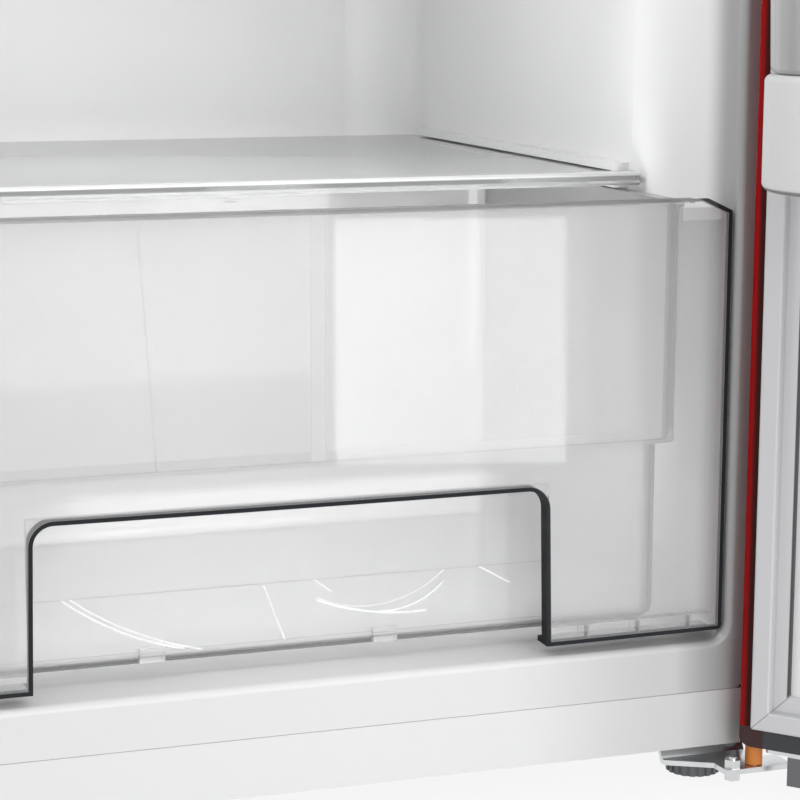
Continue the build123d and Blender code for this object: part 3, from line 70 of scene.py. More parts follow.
reach = 9.0
floor_whiteness = 0.88
floor_mesh = bpy.data.meshes.new("studio_floor")
floor_corners = [(-reach, -reach, 0), (reach, -reach, 0), (reach, reach, 0), (-reach, reach, 0)]
floor_mesh.from_pydata(floor_corners, [], [(0, 1, 2, 3)])
studio_floor = bpy.data.objects.new("studio_floor", floor_mesh)
bpy.context.scene.collection.objects.link(studio_floor)
pale = bpy.data.materials.new("pale_floor")
pale.use_nodes = True
nodes, links = pale.node_tree.nodes, pale.node_tree.links
pale_paint = nodes["Principled BSDF"]
pale_paint.inputs["Base Color"].default_value = (0.80, 0.80, 0.80, 1)
pale_paint.inputs["Roughness"].default_value = 0.7
pale_glow = nodes.new("ShaderNodeEmission")
pale_glow.inputs["Strength"].default_value = 1.0
pale_share = nodes.new("ShaderNodeMath")
pale_share.operation = "MULTIPLY"
pale_share.inputs[1].default_value = floor_whiteness
pale_mix = nodes.new("ShaderNodeMixShader")
links.new(seen_directly(pale.node_tree), pale_share.inputs[0])
links.new(pale_share.outputs[0], pale_mix.inputs[0])
links.new(pale_paint.outputs[0], pale_mix.inputs[1])
links.new(pale_glow.outputs[0], pale_mix.inputs[2])
links.new(pale_mix.outputs[0], nodes["Material Output"].inputs["Surface"])
floor_mesh.materials.append(pale)

# Soft lamps: a broad one high on the right and a far one in front that reaches into the
# compartment. A small flat one mirrors in the drawer, and weak fill lamps inside the
# compartment stand for its own lamp and the light that the clear walls pass on.
for lamp_name, place, aim, size, power in (
    ("broad_lamp", (1.2, -3.0, 2.2), (0.0, 0.1, 0.4), (2.4, 2.4), 40),
    ("front_lamp", (0.1, -4.4, 1.0), (0.0, 0.3, 0.35), (1.6, 1.6), 40),
    ("mirror_lamp", (0.340, -0.641, 0.163), (0.153, 0.0075, 0.27), (0.215, 0.206), 0.40),
    ("inside_lamp", (-0.15, 0.02, 0.75), (0.24, 0.06, 0.38), (0.12, 0.12), 0.92),
    ("shelf_lamp", (-0.03, 0.14, 0.53), (0.08, 0.45, 0.42), (0.32, 0.10), 0.56),
    ("drawer_lamp", (-0.02, 0.05, 0.240), (-0.02, 0.30, 0.215), (0.44, 0.18), 0.95),
    ("notch_lamp", (0.0, 0.020, 0.19), (0.0, 0.032, 0.11), (0.24, 0.010), 0.03),
):
    glow = bpy.data.lights.new(lamp_name, "AREA")
    glow.shape = "RECTANGLE"
    glow.size, glow.size_y = size
    glow.energy = power
    stand = bpy.data.objects.new(lamp_name, glow)
    bpy.context.scene.collection.objects.link(stand)
    stand.location = place
    stand.rotation_euler = (Vector(aim) - Vector(place)).to_track_quat("-Z", "Y").to_euler()
    stand.visible_camera = False


# The wrapper of the cabinet and the faces of both doors are steel sheet under gloss red
# enamel. The enamel lies very slightly uneven, like all sprayed and baked paint.
def enamel(title, colour, shine, uneven=0.03, level=0.5):
    paint = bpy.data.materials.new(title)
    paint.use_nodes = True
    nodes, links = paint.node_tree.nodes, paint.node_tree.links
    coat = nodes["Principled BSDF"]
    coat.inputs["Specular IOR Level"].default_value = level
    where = nodes.new("ShaderNodeTexCoord")
    cloud = nodes.new("ShaderNodeTexNoise")
    cloud.inputs["Scale"].default_value = 3.0
    cloud.inputs["Detail"].default_value = 3.0
    links.new(where.outputs["Object"], cloud.inputs["Vector"])
    tint = nodes.new("ShaderNodeValToRGB")
    tint.color_ramp.elements[0].position = 0.3
    tint.color_ramp.elements[0].color = (*[c * (1 - uneven) for c in colour], 1)
    tint.color_ramp.elements[1].position = 0.7
    tint.color_ramp.elements[1].color = (*[min(1, c * (1 + uneven)) for c in colour], 1)
    links.new(cloud.outputs["Fac"], tint.inputs["Fac"])
    links.new(tint.outputs["Color"], coat.inputs["Base Color"])
    gloss = nodes.new("ShaderNodeMapRange")
    gloss.inputs["To Min"].default_value = shine * 0.85
    gloss.inputs["To Max"].default_value = shine * 1.15
    links.new(cloud.outputs["Fac"], gloss.inputs["Value"])
    links.new(gloss.outputs["Result"], coat.inputs["Roughness"])
    peel = nodes.new("ShaderNodeTexNoise")
    peel.inputs["Scale"].default_value = 260.0
    links.new(where.outputs["Object"], peel.inputs["Vector"])
    ripple = nodes.new("ShaderNodeBump")
    ripple.inputs["Strength"].default_value = 0.03
    ripple.inputs["Distance"].default_value = 0.0004
    links.new(peel.outputs["Fac"], ripple.inputs["Height"])
    links.new(ripple.outputs["Normal"], coat.inputs["Normal"])
    return paint


def dress(names, finish):
    for name in names:
        part[name].data.materials.clear()
        part[name].data.materials.append(finish)


# Arithmetic on the surface's own place, for marks that follow a piece's outline.
def sum_up(tree, operation, *values):
    step = tree.nodes.new("ShaderNodeMath")
    step.operation = operation
    for socket, value in zip(step.inputs, values):
        if isinstance(value, (int, float)):
            socket.default_value = value
        else:
            tree.links.new(value, socket)
    return step.outputs[0]


# The lower door stands open, so marks on its pieces are placed as if it were shut.
hinge_line = (0.2675, -0.0155)
open_angle = 131


def place_of(tree, door=False):
    where = tree.nodes.new("ShaderNodeTexCoord")
    place = where.outputs["Object"]
    if door:
        turn = tree.nodes.new("ShaderNodeVectorRotate")
        turn.rotation_type = "Z_AXIS"
        turn.inputs["Center"].default_value = (*hinge_line, 0)
        turn.inputs["Angle"].default_value = math.radians(-open_angle)
        tree.links.new(place, turn.inputs["Vector"])
        place = turn.outputs[0]
    split = tree.nodes.new("ShaderNodeSeparateXYZ")
    tree.links.new(place, split.inputs[0])
    return split.outputs["X"], split.outputs["Y"], split.outputs["Z"]


def soft_step(tree, value, start, end):
    step = tree.nodes.new("ShaderNodeMapRange")
    step.interpolation_type = "SMOOTHSTEP"
    step.inputs["From Min"].default_value = start
    step.inputs["From Max"].default_value = end
    tree.links.new(value, step.inputs["Value"])
    return step.outputs["Result"]


def within(tree, value, low, high, soft):
    return sum_up(
        tree,
        "MULTIPLY",
        soft_step(tree, value, low - soft, low + soft),
        soft_step(tree, value, high + soft, high - soft),
    )


def both(tree, *values):
    share = values[0]
    for value in values[1:]:
        share = sum_up(tree, "MULTIPLY", share, value)
    return share


def either(tree, *values):
    share = values[0]
    for value in values[1:]:
        share = sum_up(tree, "MAXIMUM", share, value)
    return share


def faded(tree, value, share):
    return sum_up(tree, "MULTIPLY", value, share)


def apart(tree, value, other):
    return sum_up(tree, "SUBTRACT", value, other)


def tinted(material, colour, share):
    tree = material.node_tree
    skin = tree.nodes["Principled BSDF"]
    plain = skin.inputs["Base Color"].links[0].from_socket
    tint = tree.nodes.new("ShaderNodeMix")
    tint.data_type = "RGBA"
    tint.inputs["B"].default_value = (*colour, 1)
    tree.links.new(share, tint.inputs["Factor"])
    tree.links.new(plain, tint.inputs["A"])
    tree.links.new(tint.outputs["Result"], skin.inputs["Base Color"])


red = (0.32, 0.0010, 0.0020)
red_enamel = enamel("red_enamel", red, 0.22, 0.05, 0.12)
dress(["cabinet_shell", "freezer_door_skin"], red_enamel)

# The open door shows the fold of its red skin, 9 mm wide. The fold is slightly rolled, so
# it shines along its outer third; painted brown shade darkens it towards edge and seal.
fold_shade_brown = (0.020, 0.004, 0.002)
fold_front, fold_back = -0.0105, -0.0060
fold_enamel = enamel("fold_enamel", red, 0.22, 0.05, 0.12)
tree = fold_enamel.node_tree
x, y, z = place_of(tree, True)
side = sum_up(tree, "ABSOLUTE", x)
at_edge = soft_step(tree, side, 0.2740, 0.2749)
at_seal = soft_step(tree, side, 0.2722, 0.2692)
fold = within(tree, y, fold_front, fold_back, 0.0005)
fold = both(tree, either(tree, at_edge, at_seal), fold)
tinted(fold_enamel, fold_shade_brown, faded(tree, fold, 0.92))
dress(["fridge_door_skin"], fold_enamel)

# The rail under the drawer and the rail between the doors are folded steel sheet with
# a white enamel, slightly warmer and glossier than the plastic above them. Towards the
# hinge both are darkened with painted shade, standing for the shade of the open door.
painted_shade_grey = (0.12, 0.12, 0.12)
white_enamel = enamel("white_enamel", (0.80, 0.80, 0.80), 0.25, 0.01)
tree = white_enamel.node_tree
x, y, z = place_of(tree)
far = faded(tree, soft_step(tree, x, 0.120, 0.215), 0.22)
near = faded(tree, soft_step(tree, x, 0.200, 0.255), 0.42)
tinted(white_enamel, painted_shade_grey, either(tree, far, near))
dress(["front_rail", "mullion_rail"], white_enamel)


# The inside of the cabinet and of the doors is vacuum-formed white plastic sheet with a
# satin skin. It is drawn over a mould, so it is smooth with a faint orange-peel grain.
def moulding(title, colour, rough, grain=0.04, size=420.0):
    plastic = bpy.data.materials.new(title)
    plastic.use_nodes = True
    nodes, links = plastic.node_tree.nodes, plastic.node_tree.links
    skin = nodes["Principled BSDF"]
    where = nodes.new("ShaderNodeTexCoord")
    drift = nodes.new("ShaderNodeTexNoise")
    drift.inputs["Scale"].default_value = 5.0
    drift.inputs["Detail"].default_value = 4.0
    links.new(where.outputs["Object"], drift.inputs["Vector"])
    tint = nodes.new("ShaderNodeValToRGB")
    tint.color_ramp.elements[0].position = 0.35
    tint.color_ramp.elements[0].color = (*[c * 0.985 for c in colour], 1)
    tint.color_ramp.elements[1].position = 0.65
    tint.color_ramp.elements[1].color = (*colour, 1)
    links.new(drift.outputs["Fac"], tint.inputs["Fac"])
    links.new(tint.outputs["Color"], skin.inputs["Base Color"])
    gloss = nodes.new("ShaderNodeMapRange")
    gloss.inputs["To Min"].default_value = rough * 0.9
    gloss.inputs["To Max"].default_value = rough * 1.1
    links.new(drift.outputs["Fac"], gloss.inputs["Value"])
    links.new(gloss.outputs["Result"], skin.inputs["Roughness"])
    pores = nodes.new("ShaderNodeTexNoise")
    pores.inputs["Scale"].default_value = size
    links.new(where.outputs["Object"], pores.inputs["Vector"])
    relief = nodes.new("ShaderNodeBump")
    relief.inputs["Strength"].default_value = grain
    relief.inputs["Distance"].default_value = 0.0003
    links.new(pores.outputs["Fac"], relief.inputs["Height"])
    links.new(relief.outputs["Normal"], skin.inputs["Normal"])
    return plastic


liner_grey = (0.86, 0.86, 0.86)
mouth_start, mouth_end = 0.2500, 0.2545
sill_top = 0.090
liner_white = moulding("liner_white", liner_grey, 0.34)
tree = liner_white.node_tree
x, y, z = place_of(tree)
# painted shade: the flare at each side of the mouth is darkened, most at the front
mouth = soft_step(tree, sum_up(tree, "ABSOLUTE", x), mouth_start, mouth_end)
mouth = faded(tree, both(tree, mouth, soft_step(tree, y, 0.060, 0.010)), 0.70)
# painted shade: the sill above the rail is darkened towards the hinge, where the open door
# shades it
far = sum_up(tree, "MULTIPLY_ADD", soft_step(tree, x, 0.110, 0.215), 0.28, 0.12)
near = faded(tree, soft_step(tree, x, 0.195, 0.250), 0.75)
low = soft_step(tree, z, sill_top + 0.004, sill_top - 0.004)
sill = both(tree, low, soft_step(tree, y, 0.060, 0.030), either(tree, far, near))
tinted(liner_white, (0.20, 0.20, 0.20), either(tree, mouth, sill))
dress(["fridge_liner", "freezer_liner", "freezer_door_liner"], liner_white)
# the ledge on the lower door is a shade greyer, and painted shade makes a dark line round its
# underside
ledge_low, ledge_high = 0.3540, 0.3572
door_white = moulding("door_white", (0.80, 0.80, 0.80), 0.34)
tree = door_white.node_tree
x, y, z = place_of(tree, True)
underside_shade = within(tree, z, ledge_low, ledge_high, 0.0006)
underside_shade = both(tree, underside_shade, soft_step(tree, y, 0.004, 0.008))
tinted(door_white, painted_shade_grey, faded(tree, underside_shade, 0.8))
dress(["fridge_door_liner"], door_white)
trim_white = moulding("trim_white", liner_grey, 0.25)
dress(["control_housing", "control_dial", "door_switch", "dairy_lid"], trim_white)

# Rigid foam fills the walls and both doors. It is yellowish and full of fine cells, and
# only its edges show, from behind and below.
foam = moulding("foam", (0.72, 0.62, 0.36), 0.9, 0.5, 900.0)
dress(["cabinet_foam", "fridge_door_foam", "freezer_door_foam"], foam)


# The back, the underside and the cross rail are bare galvanised sheet with its frosty
# zinc crystals. The plates that the hinge screws bite into are the same sheet.
def bare_metal(title, colour, rough, streaks, spangle=0.0):
    metal = bpy.data.materials.new(title)
    metal.use_nodes = True
    nodes, links = metal.node_tree.nodes, metal.node_tree.links
    face = nodes["Principled BSDF"]
    face.inputs["Metallic"].default_value = 1.0
    where = nodes.new("ShaderNodeTexCoord")
    stretch = nodes.new("ShaderNodeMapping")
    stretch.inputs["Scale"].default_value = streaks
    links.new(where.outputs["Object"], stretch.inputs["Vector"])
    grain = nodes.new("ShaderNodeTexNoise")
    grain.inputs["Scale"].default_value = 40.0
    grain.inputs["Detail"].default_value = 4.0
    links.new(stretch.outputs["Vector"], grain.inputs["Vector"])
    flakes = nodes.new("ShaderNodeTexVoronoi")
    flakes.inputs["Scale"].default_value = 60.0
    links.new(where.outputs["Object"], flakes.inputs["Vector"])
    blend = nodes.new("ShaderNodeMix")
    blend.inputs["Factor"].default_value = spangle
    links.new(grain.outputs["Fac"], blend.inputs["A"])
    links.new(flakes.outputs["Distance"], blend.inputs["B"])
    tint = nodes.new("ShaderNodeValToRGB")
    tint.color_ramp.elements[0].position = 0.3
    tint.color_ramp.elements[0].color = (*[c * 0.85 for c in colour], 1)
    tint.color_ramp.elements[1].position = 0.7
    tint.color_ramp.elements[1].color = (*colour, 1)
    links.new(blend.outputs["Result"], tint.inputs["Fac"])
    links.new(tint.outputs["Color"], face.inputs["Base Color"])
    gloss = nodes.new("ShaderNodeMapRange")
    gloss.inputs["To Min"].default_value = rough * 0.8
    gloss.inputs["To Max"].default_value = rough * 1.25
    links.new(grain.outputs["Fac"], gloss.inputs["Value"])
    links.new(gloss.outputs["Result"], face.inputs["Roughness"])
    return metal


galvanised = bare_metal("galvanised", (0.50, 0.52, 0.54), 0.42, (1, 1, 1), 0.7)
dress(["back_panel", "base_pan", "compressor_rail", "hinge_anchors"], galvanised)


# A clear wall: a faint veil that lets most light through, under a clean gloss. The veil
# thickens where the wall is seen slantwise. Marks paint light and shade onto it.
def clear_wall(title, veil_colour, veil, rough, marks=None):
    clear = bpy.data.materials.new(title)
    clear.use_nodes = True
    tree = clear.node_tree
    nodes, links = tree.nodes, tree.links
    body = nodes["Principled BSDF"]
    body.inputs["Specular IOR Level"].default_value = 0.0
    body.inputs["Roughness"].default_value = 0.6
    body.inputs["Base Color"].default_value = (*veil_colour, 1)
    aslant = nodes.new("ShaderNodeLayerWeight")
    aslant.inputs["Blend"].default_value = 0.5
    slant = sum_up(tree, "POWER", aslant.outputs["Facing"], 3.0)
    cover = sum_up(tree, "MULTIPLY_ADD", slant, 0.3, veil)
    glance = nodes.new("ShaderNodeFresnel")
    glance.inputs["IOR"].default_value = 1.5
    shine_share = glance.outputs["Fac"]
    if marks:
        light, dark, dark_colour = marks(tree)
        tone = nodes.new("ShaderNodeMix")
        tone.data_type = "RGBA"
        tone.inputs["A"].default_value = (*veil_colour, 1)
        tone.inputs["B"].default_value = (*dark_colour, 1)
        links.new(dark, tone.inputs["Factor"])
        links.new(tone.outputs["Result"], body.inputs["Base Color"])
        cover = either(tree, cover, faded(tree, dark, 0.96))
        shine_share = both(tree, shine_share, sum_up(tree, "MULTIPLY_ADD", dark, -0.8, 1.0))
        if light:
            # light marks are painted highlights; they also glow faintly, though the wall is no
            # lamp
            cover = either(tree, cover, faded(tree, light, 0.9))
            body.inputs["Emission Color"].default_value = (1, 1, 1, 1)
            glow = faded(tree, light, 0.12)
            links.new(glow, body.inputs["Emission Strength"])
    links.new(cover, body.inputs["Alpha"])
    where = nodes.new("ShaderNodeTexCoord")
    flow = nodes.new("ShaderNodeTexNoise")
    flow.inputs["Scale"].default_value = 9.0
    flow.inputs["Detail"].default_value = 3.0
    links.new(where.outputs["Object"], flow.inputs["Vector"])
    haze = nodes.new("ShaderNodeMapRange")
    haze.inputs["To Min"].default_value = rough * 0.6
    haze.inputs["To Max"].default_value = rough * 1.4
    links.new(flow.outputs["Fac"], haze.inputs["Value"])
    waves = nodes.new("ShaderNodeBump")
    waves.inputs["Strength"].default_value = 0.02
    waves.inputs["Distance"].default_value = 0.001
    links.new(flow.outputs["Fac"], waves.inputs["Height"])
    shine = nodes.new("ShaderNodeBsdfGlossy")
    links.new(haze.outputs["Result"], shine.inputs["Roughness"])
    links.new(waves.outputs["Normal"], shine.inputs["Normal"])
    surface = nodes.new("ShaderNodeMixShader")
    links.new(shine_share, surface.inputs[0])
    links.new(body.outputs[0], surface.inputs[1])
    links.new(shine.outputs[0], surface.inputs[2])
    links.new(surface.outputs[0], nodes["Material Output"].inputs["Surface"])
    return clear


# The drawer's front is a clear plastic plate, 3 mm thick and bowed. Light gets caught in
# the plate along its cut edges and round the finger cut-out; there it is painted dark.
plate_side, plate_foot, plate_top = 0.2545, 0.092, 0.341
chamfer_slope, chamfer_lean, chamfer_cut = 0.467, 0.906, 0.00634
grip_side, grip_top, grip_round, grip_spread = 0.132, 0.182, 0.011, 0.0222
channel_start, channel_end, channel_foot, channel_top = 0.146, 0.247, 0.095, 0.103
web_first, web_pitch, webs = 0.170, 0.032, 3
edge_dark = (0.025, 0.027, 0.03)


def front_marks(tree):
    x, _, z = place_of(tree)
    side = sum_up(tree, "ABSOLUTE", x)
    to_side = apart(tree, plate_side, side)
    to_top = apart(tree, plate_top, z)
    to_foot = apart(tree, z, plate_foot)
    chamfer = sum_up(tree, "MULTIPLY_ADD", to_side, chamfer_slope, to_top)
    to_chamfer = sum_up(tree, "MULTIPLY_ADD", chamfer, chamfer_lean, -chamfer_cut)
    # the cut-out spreads downwards, and its upper corners are rounded
    beside = apart(tree, side, grip_side)
    beside = sum_up(tree, "MULTIPLY_ADD", apart(tree, grip_top, z), -grip_spread, beside)
    above = apart(tree, z, grip_top - grip_round)
    beside = sum_up(tree, "POWER", sum_up(tree, "MAXIMUM", beside, 0.0), 2.0)
    above = sum_up(tree, "POWER", sum_up(tree, "MAXIMUM", above, 0.0), 2.0)
    to_grip = sum_up(tree, "SQRT", sum_up(tree, "ADD", beside, above))
    nearest = apart(tree, to_grip, grip_round)
    for edge in (to_side, to_chamfer, to_foot):
        nearest = sum_up(tree, "MINIMUM", nearest, edge)
    edges = soft_step(tree, nearest, 0.0030, 0.0022)
    top = faded(tree, soft_step(tree, to_top, 0.0019, 0.0012), 0.75)
    # the stiffening channel along the foot, left and right of the cut-out, and its webs,
    # painted as dark lines of shade
    channel = within(tree, z, channel_top - 0.0004, channel_top + 0.0009, 0.0003)
    channel = both(tree, channel, within(tree, side, channel_start, channel_end, 0.0005))
    for number in range(webs):
        middle = web_first + web_pitch * number
        web = within(tree, side, middle - 0.0005, middle + 0.0005, 0.0003)
        web = both(tree, web, within(tree, z, channel_foot, channel_top, 0.0003))
        channel = either(tree, channel, web)
    # painted light: the plate is lightened beside the tub, and glows faintly there
    painted_light_beside_tub = within(tree, side, 0.2235, 0.2450, 0.0010)
    painted_light_beside_tub = both(tree, painted_light_beside_tub, soft_step(tree, z, channel_top + 0.002, channel_top + 0.005))
    dark = either(tree, edges, top, faded(tree, channel, 0.55))
    return faded(tree, painted_light_beside_tub, 0.25), dark, edge_dark


front_clear = clear_wall("front_clear", (0.95, 0.95, 0.955), 0.20, 0.04, front_marks)
dress(["crisper_front"], front_clear)


# The drawer's tub is the same clear plastic, 2.5 mm thick. Its lower front, behind the
# cut-out, carries thin bright curves of painted light, and its rear corner a painted line.
low_face, high_face = 0.0335, 0.0088
lip_height, step_height = 0.1345, 0.2055
tub_curves = (
    ((-0.0193, 0.2639), 0.1666, (-0.125, -0.056), 0.0011, 1.0),
    ((-0.0064, 0.2814), 0.1855, (-0.121, -0.046), 0.0009, 1.0),
    ((0.0758, 0.2598), 0.1489, (0.018, 0.084), 0.0011, 1.0),
    ((0.0592, 0.1603), 0.0477, (0.054, 0.094), 0.0009, 1.0),
    ((0.0489, 0.1829), 0.0664, (0.018, 0.095), 0.0009, 0.7),
)
tub_rays = (
    ((0.1144, 0.1341), (0.1338, 0.1228), 0.0020, 1.0),
    ((0.0168, 0.1343), (0.0274, 0.1264), 0.0012, 1.0),
    ((-0.0118, 0.1334), (0.0004, 0.1011), 0.0012, 0.8),
    ((-0.0457, 0.1319), (0.0004, 0.1030), 0.0010, 0.4),
    ((0.0099, 0.134), (0.0100, 0.107), 0.0042, 0.35),
)


def tub_marks(tree):
    x, y, z = place_of(tree)
    flat = tree.nodes.new("ShaderNodeCombineXYZ")
    tree.links.new(x, flat.inputs[0])
    tree.links.new(z, flat.inputs[1])

    def drawn(off, width):
        return soft_step(tree, sum_up(tree, "ABSOLUTE", off), width, width * 0.3)

    glints = []
    for centre, radius, ends, width, share in tub_curves:
        away = tree.nodes.new("ShaderNodeVectorMath")
        away.operation = "DISTANCE"
        tree.links.new(flat.outputs[0], away.inputs[0])
        away.inputs[1].default_value = (*centre, 0)
        line = drawn(apart(tree, away.outputs["Value"], radius), width)
        glints.append(faded(tree, both(tree, line, within(tree, x, *ends, 0.003)), share))
    for start, end, width, share in tub_rays:
        slope = (end[0] - start[0]) / (end[1] - start[1])
        along = sum_up(tree, "MULTIPLY_ADD", z, -slope, x)
        line = drawn(apart(tree, along, start[0] - slope * start[1]), width)
        line = both(tree, line, within(tree, z, end[1], start[1], 0.001))
        glints.append(faded(tree, line, share))
    on_low_face = soft_step(tree, y, low_face, low_face - 0.0010)
    low_front = both(tree, sum_up(tree, "LESS_THAN", z, lip_height), on_low_face)
    # painted shade: dark lines at the lip and at a seam, and a faint darkening of the lower
    # front
    lip = faded(tree, within(tree, z, lip_height - 0.0005, lip_height + 0.0001, 0.0003), 0.8)
    seam = faded(tree, within(tree, z, 0.1012, 0.1018, 0.0003), 0.35)
    haze = faded(tree, within(tree, z, 0.093, lip_height - 0.0002, 0.0003), 0.02)
    low_marks = both(tree, either(tree, lip, seam, haze), low_front)
    # the upper front: a painted bright upright bar, the rear corner seen through painted as a
    # dark line, and a patch of painted shade
    high_front = soft_step(tree, y, high_face, high_face - 0.0004)
    high_front = both(tree, sum_up(tree, "GREATER_THAN", z, step_height), high_front)
    bar = faded(tree, within(tree, x, 0.0085, 0.0170, 0.0006), 0.55)
    corner = sum_up(tree, "ADD", sum_up(tree, "MULTIPLY_ADD", z, 0.0649, x), 0.0627)
    corner = soft_step(tree, sum_up(tree, "ABSOLUTE", corner), 0.0012, 0.0003)
    shade = faded(tree, within(tree, x, 0.159, 0.203, 0.0010), 0.12)
    high_marks = both(tree, either(tree, faded(tree, corner, 0.38), shade), high_front)
    # painted light lifts the lower front below the step, where it also glows faintly
    painted_low_light = both(tree, on_low_face, soft_step(tree, z, step_height, step_height - 0.0005))
    light = either(
        tree,
        both(tree, either(tree, *glints), low_front),
        both(tree, bar, high_front),
        faded(tree, painted_low_light, 0.42),
    )
    return light, either(tree, low_marks, high_marks), (0.25, 0.25, 0.26)


tub_clear = clear_wall("tub_clear", (0.96, 0.96, 0.965), 0.24, 0.05, tub_marks)
dress(["crisper_tub"], tub_clear)


# The shelves are plates of tempered glass that rest on ledges of the liner. Painted shade
# darkens them along their ground side and rear edges.
glass_side, glass_back = 0.2345, 0.470
glass_edge_shade = (0.16, 0.19, 0.19)


def glass_marks(tree):
    x, y, _ = place_of(tree)
    to_side = apart(tree, glass_side, sum_up(tree, "ABSOLUTE", x))
    rim = sum_up(tree, "MINIMUM", to_side, apart(tree, glass_back, y))
    return None, soft_step(tree, rim, 0.0016, 0.0006), glass_edge_shade


shelf_pane = clear_wall("shelf_glass", (0.96, 0.97, 0.97), 0.42, 0.06, glass_marks)
dress(["shelf_glass"], shelf_pane)


# A clear moulded channel grips the front edge of each shelf. A painted highlight runs along
# its top edge, and painted shade darkens the channel under the glass, more in some places.
second_up, third_up = 0.1977, 0.1669
groove_low, groove_high = 0.3450, 0.3474


def trim_marks(tree):
    _, _, z = place_of(tree)
    second = faded(tree, sum_up(tree, "GREATER_THAN", z, 0.5), -second_up)
    third = faded(tree, sum_up(tree, "GREATER_THAN", z, 0.65), -third_up)
    height = sum_up(tree, "ADD", sum_up(tree, "ADD", z, second), third)
    where = tree.nodes.new("ShaderNodeTexCoord")
    patch = tree.nodes.new("ShaderNodeTexNoise")
    patch.inputs["Scale"].default_value = 9.0
    tree.links.new(where.outputs["Object"], patch.inputs["Vector"])
    patches = soft_step(tree, patch.outputs["Fac"], 0.44, 0.52)
    share = sum_up(tree, "MULTIPLY_ADD", patches, 0.6, 0.15)
    groove = both(tree, within(tree, height, groove_low, groove_high, 0.0003), share)
    gleam = soft_step(tree, height, groove_high, groove_high + 0.0006)
    return faded(tree, gleam, 0.8), groove, (0.07, 0.072, 0.075)


trim_clear = clear_wall("trim_clear", (0.85, 0.86, 0.86), 0.30, 0.08, trim_marks)
dress(["shelf_trim"], trim_clear)


# The door bins and the dairy box are clear mouldings that hook onto the door's white
# face. Faint upright streaks of painted highlight and shade run over them, and a painted
# dark line marks where their floor shows.
bin_floors = ((0.4143, 0.4168), (0.5811, 0.5836))


def bin_marks(tree):
    _, _, z = place_of(tree)
    where = tree.nodes.new("ShaderNodeTexCoord")
    upright = tree.nodes.new("ShaderNodeMapping")
    upright.inputs["Scale"].default_value = (1.0, 1.0, 0.02)
    streaks = tree.nodes.new("ShaderNodeTexNoise")
    streaks.inputs["Scale"].default_value = 70.0
    tree.links.new(where.outputs["Object"], upright.inputs["Vector"])
    tree.links.new(upright.outputs["Vector"], streaks.inputs["Vector"])
    bright = faded(tree, soft_step(tree, streaks.outputs["Fac"], 0.52, 0.68), 0.6)
    dim = faded(tree, soft_step(tree, streaks.outputs["Fac"], 0.45, 0.30), 0.12)
    floors = either(tree, *[within(tree, z, low, high, 0.0003) for low, high in bin_floors])
    return bright, either(tree, dim, faded(tree, floors, 0.2)), (0.20, 0.20, 0.21)


bin_clear = clear_wall("bin_clear", (0.96, 0.96, 0.965), 0.45, 0.05, bin_marks)
dress(["door_bin_low", "door_bin_mid", "dairy_box", "freezer_door_bin"], bin_clear)

# The bulb sits in the control box under a snap-on lens. The glass of the one and the
# plastic of the other are frosted.
frosted = clear_wall("frosted", (0.86, 0.86, 0.84), 0.6, 0.3)
dress(["lamp_lens", "lamp"], frosted)


# A soft vinyl seal runs round each door, its four lengths welded at 45 degrees in the
# corners. Shallow grooves along it let it fold like a bellows.
seal_side = 0.2657
groove_start, groove_end = 0.0120, 0.0130
foot_start, foot_end = 0.0205, 0.0300


def seal(title, low, high, door):
    vinyl = moulding(title, (0.62, 0.62, 0.63), 0.45)
    tree = vinyl.node_tree
    x, _, z = place_of(tree, door)
    across = apart(tree, seal_side, sum_up(tree, "ABSOLUTE", x))
    upright = sum_up(tree, "MINIMUM", apart(tree, z, low), apart(tree, high, z))
    weld = sum_up(tree, "ABSOLUTE", apart(tree, across, upright))
    weld = faded(tree, soft_step(tree, weld, 0.0006, 0.0002), 0.6)
    inward = sum_up(tree, "MINIMUM", across, upright)
    groove = faded(tree, within(tree, inward, groove_start, groove_end, 0.0003), 0.15)
    foot = within(tree, inward, foot_start, foot_end, 0.0004)
    foot = both(tree, foot, soft_step(tree, apart(tree, upright, across), 0.0, 0.001))
    # the welds are dark joints; the grooves and a band along the upright lengths, 20 to 30 mm
    # in from the edge, are painted shade
    tinted(vinyl, (0.06, 0.06, 0.062), either(tree, weld, groove, foot))
    return vinyl


dress(["fridge_door_gasket"], seal("low_seal", 0.040, 0.992, True))
dress(["freezer_door_gasket"], seal("high_seal", 1.024, 1.444, False))

# Dark grey caps close the ends of both doors, and one covers the top hinge. The red of
# the door's skin runs on round the lower corner beside the hinge, painted deep in shade there.
cap_grey = moulding("cap_grey", (0.035, 0.037, 0.042), 0.5)
dress(
    [
        "fridge_door_cap_low",
        "fridge_door_cap_top",
        "freezer_door_cap_low",
        "freezer_door_cap_top",
        "hinge_cover",
    ],
    cap_grey,
)
corner_side, corner_top = 0.2590, 0.060
tree = cap_grey.node_tree
x, y, z = place_of(tree, True)
corner = soft_step(tree, x, corner_side, corner_side + 0.0010)
corner = both(tree, corner, soft_step(tree, z, corner_top, corner_top - 0.010))
tinted(cap_grey, (0.030, 0.001, 0.001), faded(tree, corner, 0.95))

# The lower door turns on an orange-brown nylon bush, pressed into its end cap and set
# over the pin of the lower hinge.
bush_orange = moulding("bush_orange", (0.62, 0.20, 0.03), 0.35)
dress(["fridge_door_bush"], bush_orange)

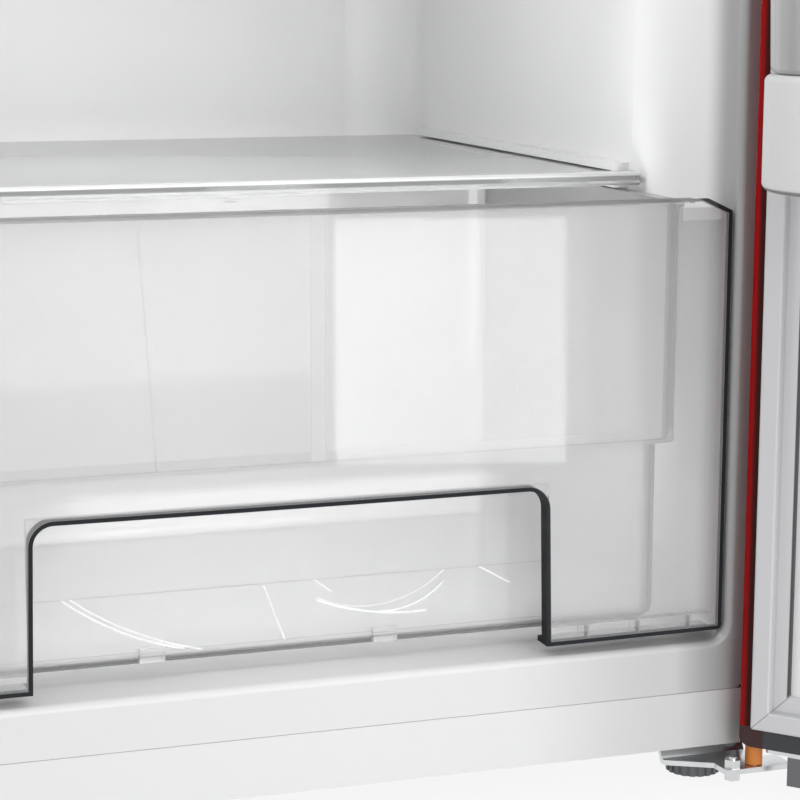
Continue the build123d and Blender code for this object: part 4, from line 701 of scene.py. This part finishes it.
# The screw feet are grey plastic with a knurled rim. Sockets, rear pads and the fittings
# of the machine bay are black.
foot_grey = moulding("foot_grey", (0.16, 0.165, 0.17), 0.45)
dress(["foot_left", "foot_right"], foot_grey)
black_plastic = moulding("black_plastic", (0.025, 0.025, 0.027), 0.5)
dress(
    ["foot_sockets", "rear_feet", "relay_cover", "drip_tray", "drain_tube", "power_inlet"],
    black_plastic,
)
black_rubber = moulding("black_rubber", (0.02, 0.02, 0.02), 0.8)
dress(["compressor_mounts"], black_rubber)

# The hinges, their screws and the stop under the lower door are zinc-plated steel. The
# stop is bent down at its end, and the bent part is darkened with painted shade.
zinc_colour = (0.74, 0.75, 0.76)
zinc = bare_metal("zinc", zinc_colour, 0.22, (1, 1, 1), 0.15)
dress(["hinge_lower", "hinge_middle", "hinge_top", "hinge_bolts", "tongue_bolt"], zinc)
bend_height = 0.025
stop_zinc = bare_metal("stop_zinc", zinc_colour, 0.22, (1, 1, 1), 0.15)
tree = stop_zinc.node_tree
x, y, z = place_of(tree)
bent = soft_step(tree, z, bend_height + 0.0004, bend_height - 0.0004)
tinted(stop_zinc, (0.10, 0.10, 0.11), faded(tree, bent, 0.9))
dress(["door_stop_plate"], stop_zinc)

# The pull handles are cast in one piece, chromed, and screwed to the doors from inside
# at both ends.
chrome = bare_metal("chrome", (0.80, 0.81, 0.82), 0.06, (1, 1, 1))
dress(["fridge_door_handle", "freezer_door_handle"], chrome)

# The cold plate on the freezer's rear wall is rolled aluminium, the pipes are copper, and
# the compressor and the coil behind are under black paint. The freezer's shelf is welded
# wire under white enamel.
plate = bare_metal("plate", (0.74, 0.75, 0.77), 0.3, (1, 1, 30))
dress(["cold_plate"], plate)
copper = bare_metal("copper", (0.60, 0.27, 0.15), 0.3, (1, 1, 1))
dress(["refrigerant_pipes"], copper)
black_enamel = enamel("black_enamel", (0.018, 0.018, 0.020), 0.35)
dress(["compressor", "condenser"], black_enamel)
white_wire = enamel("white_wire", (0.80, 0.80, 0.79), 0.3, 0.01)
dress(["freezer_shelf"], white_wire)
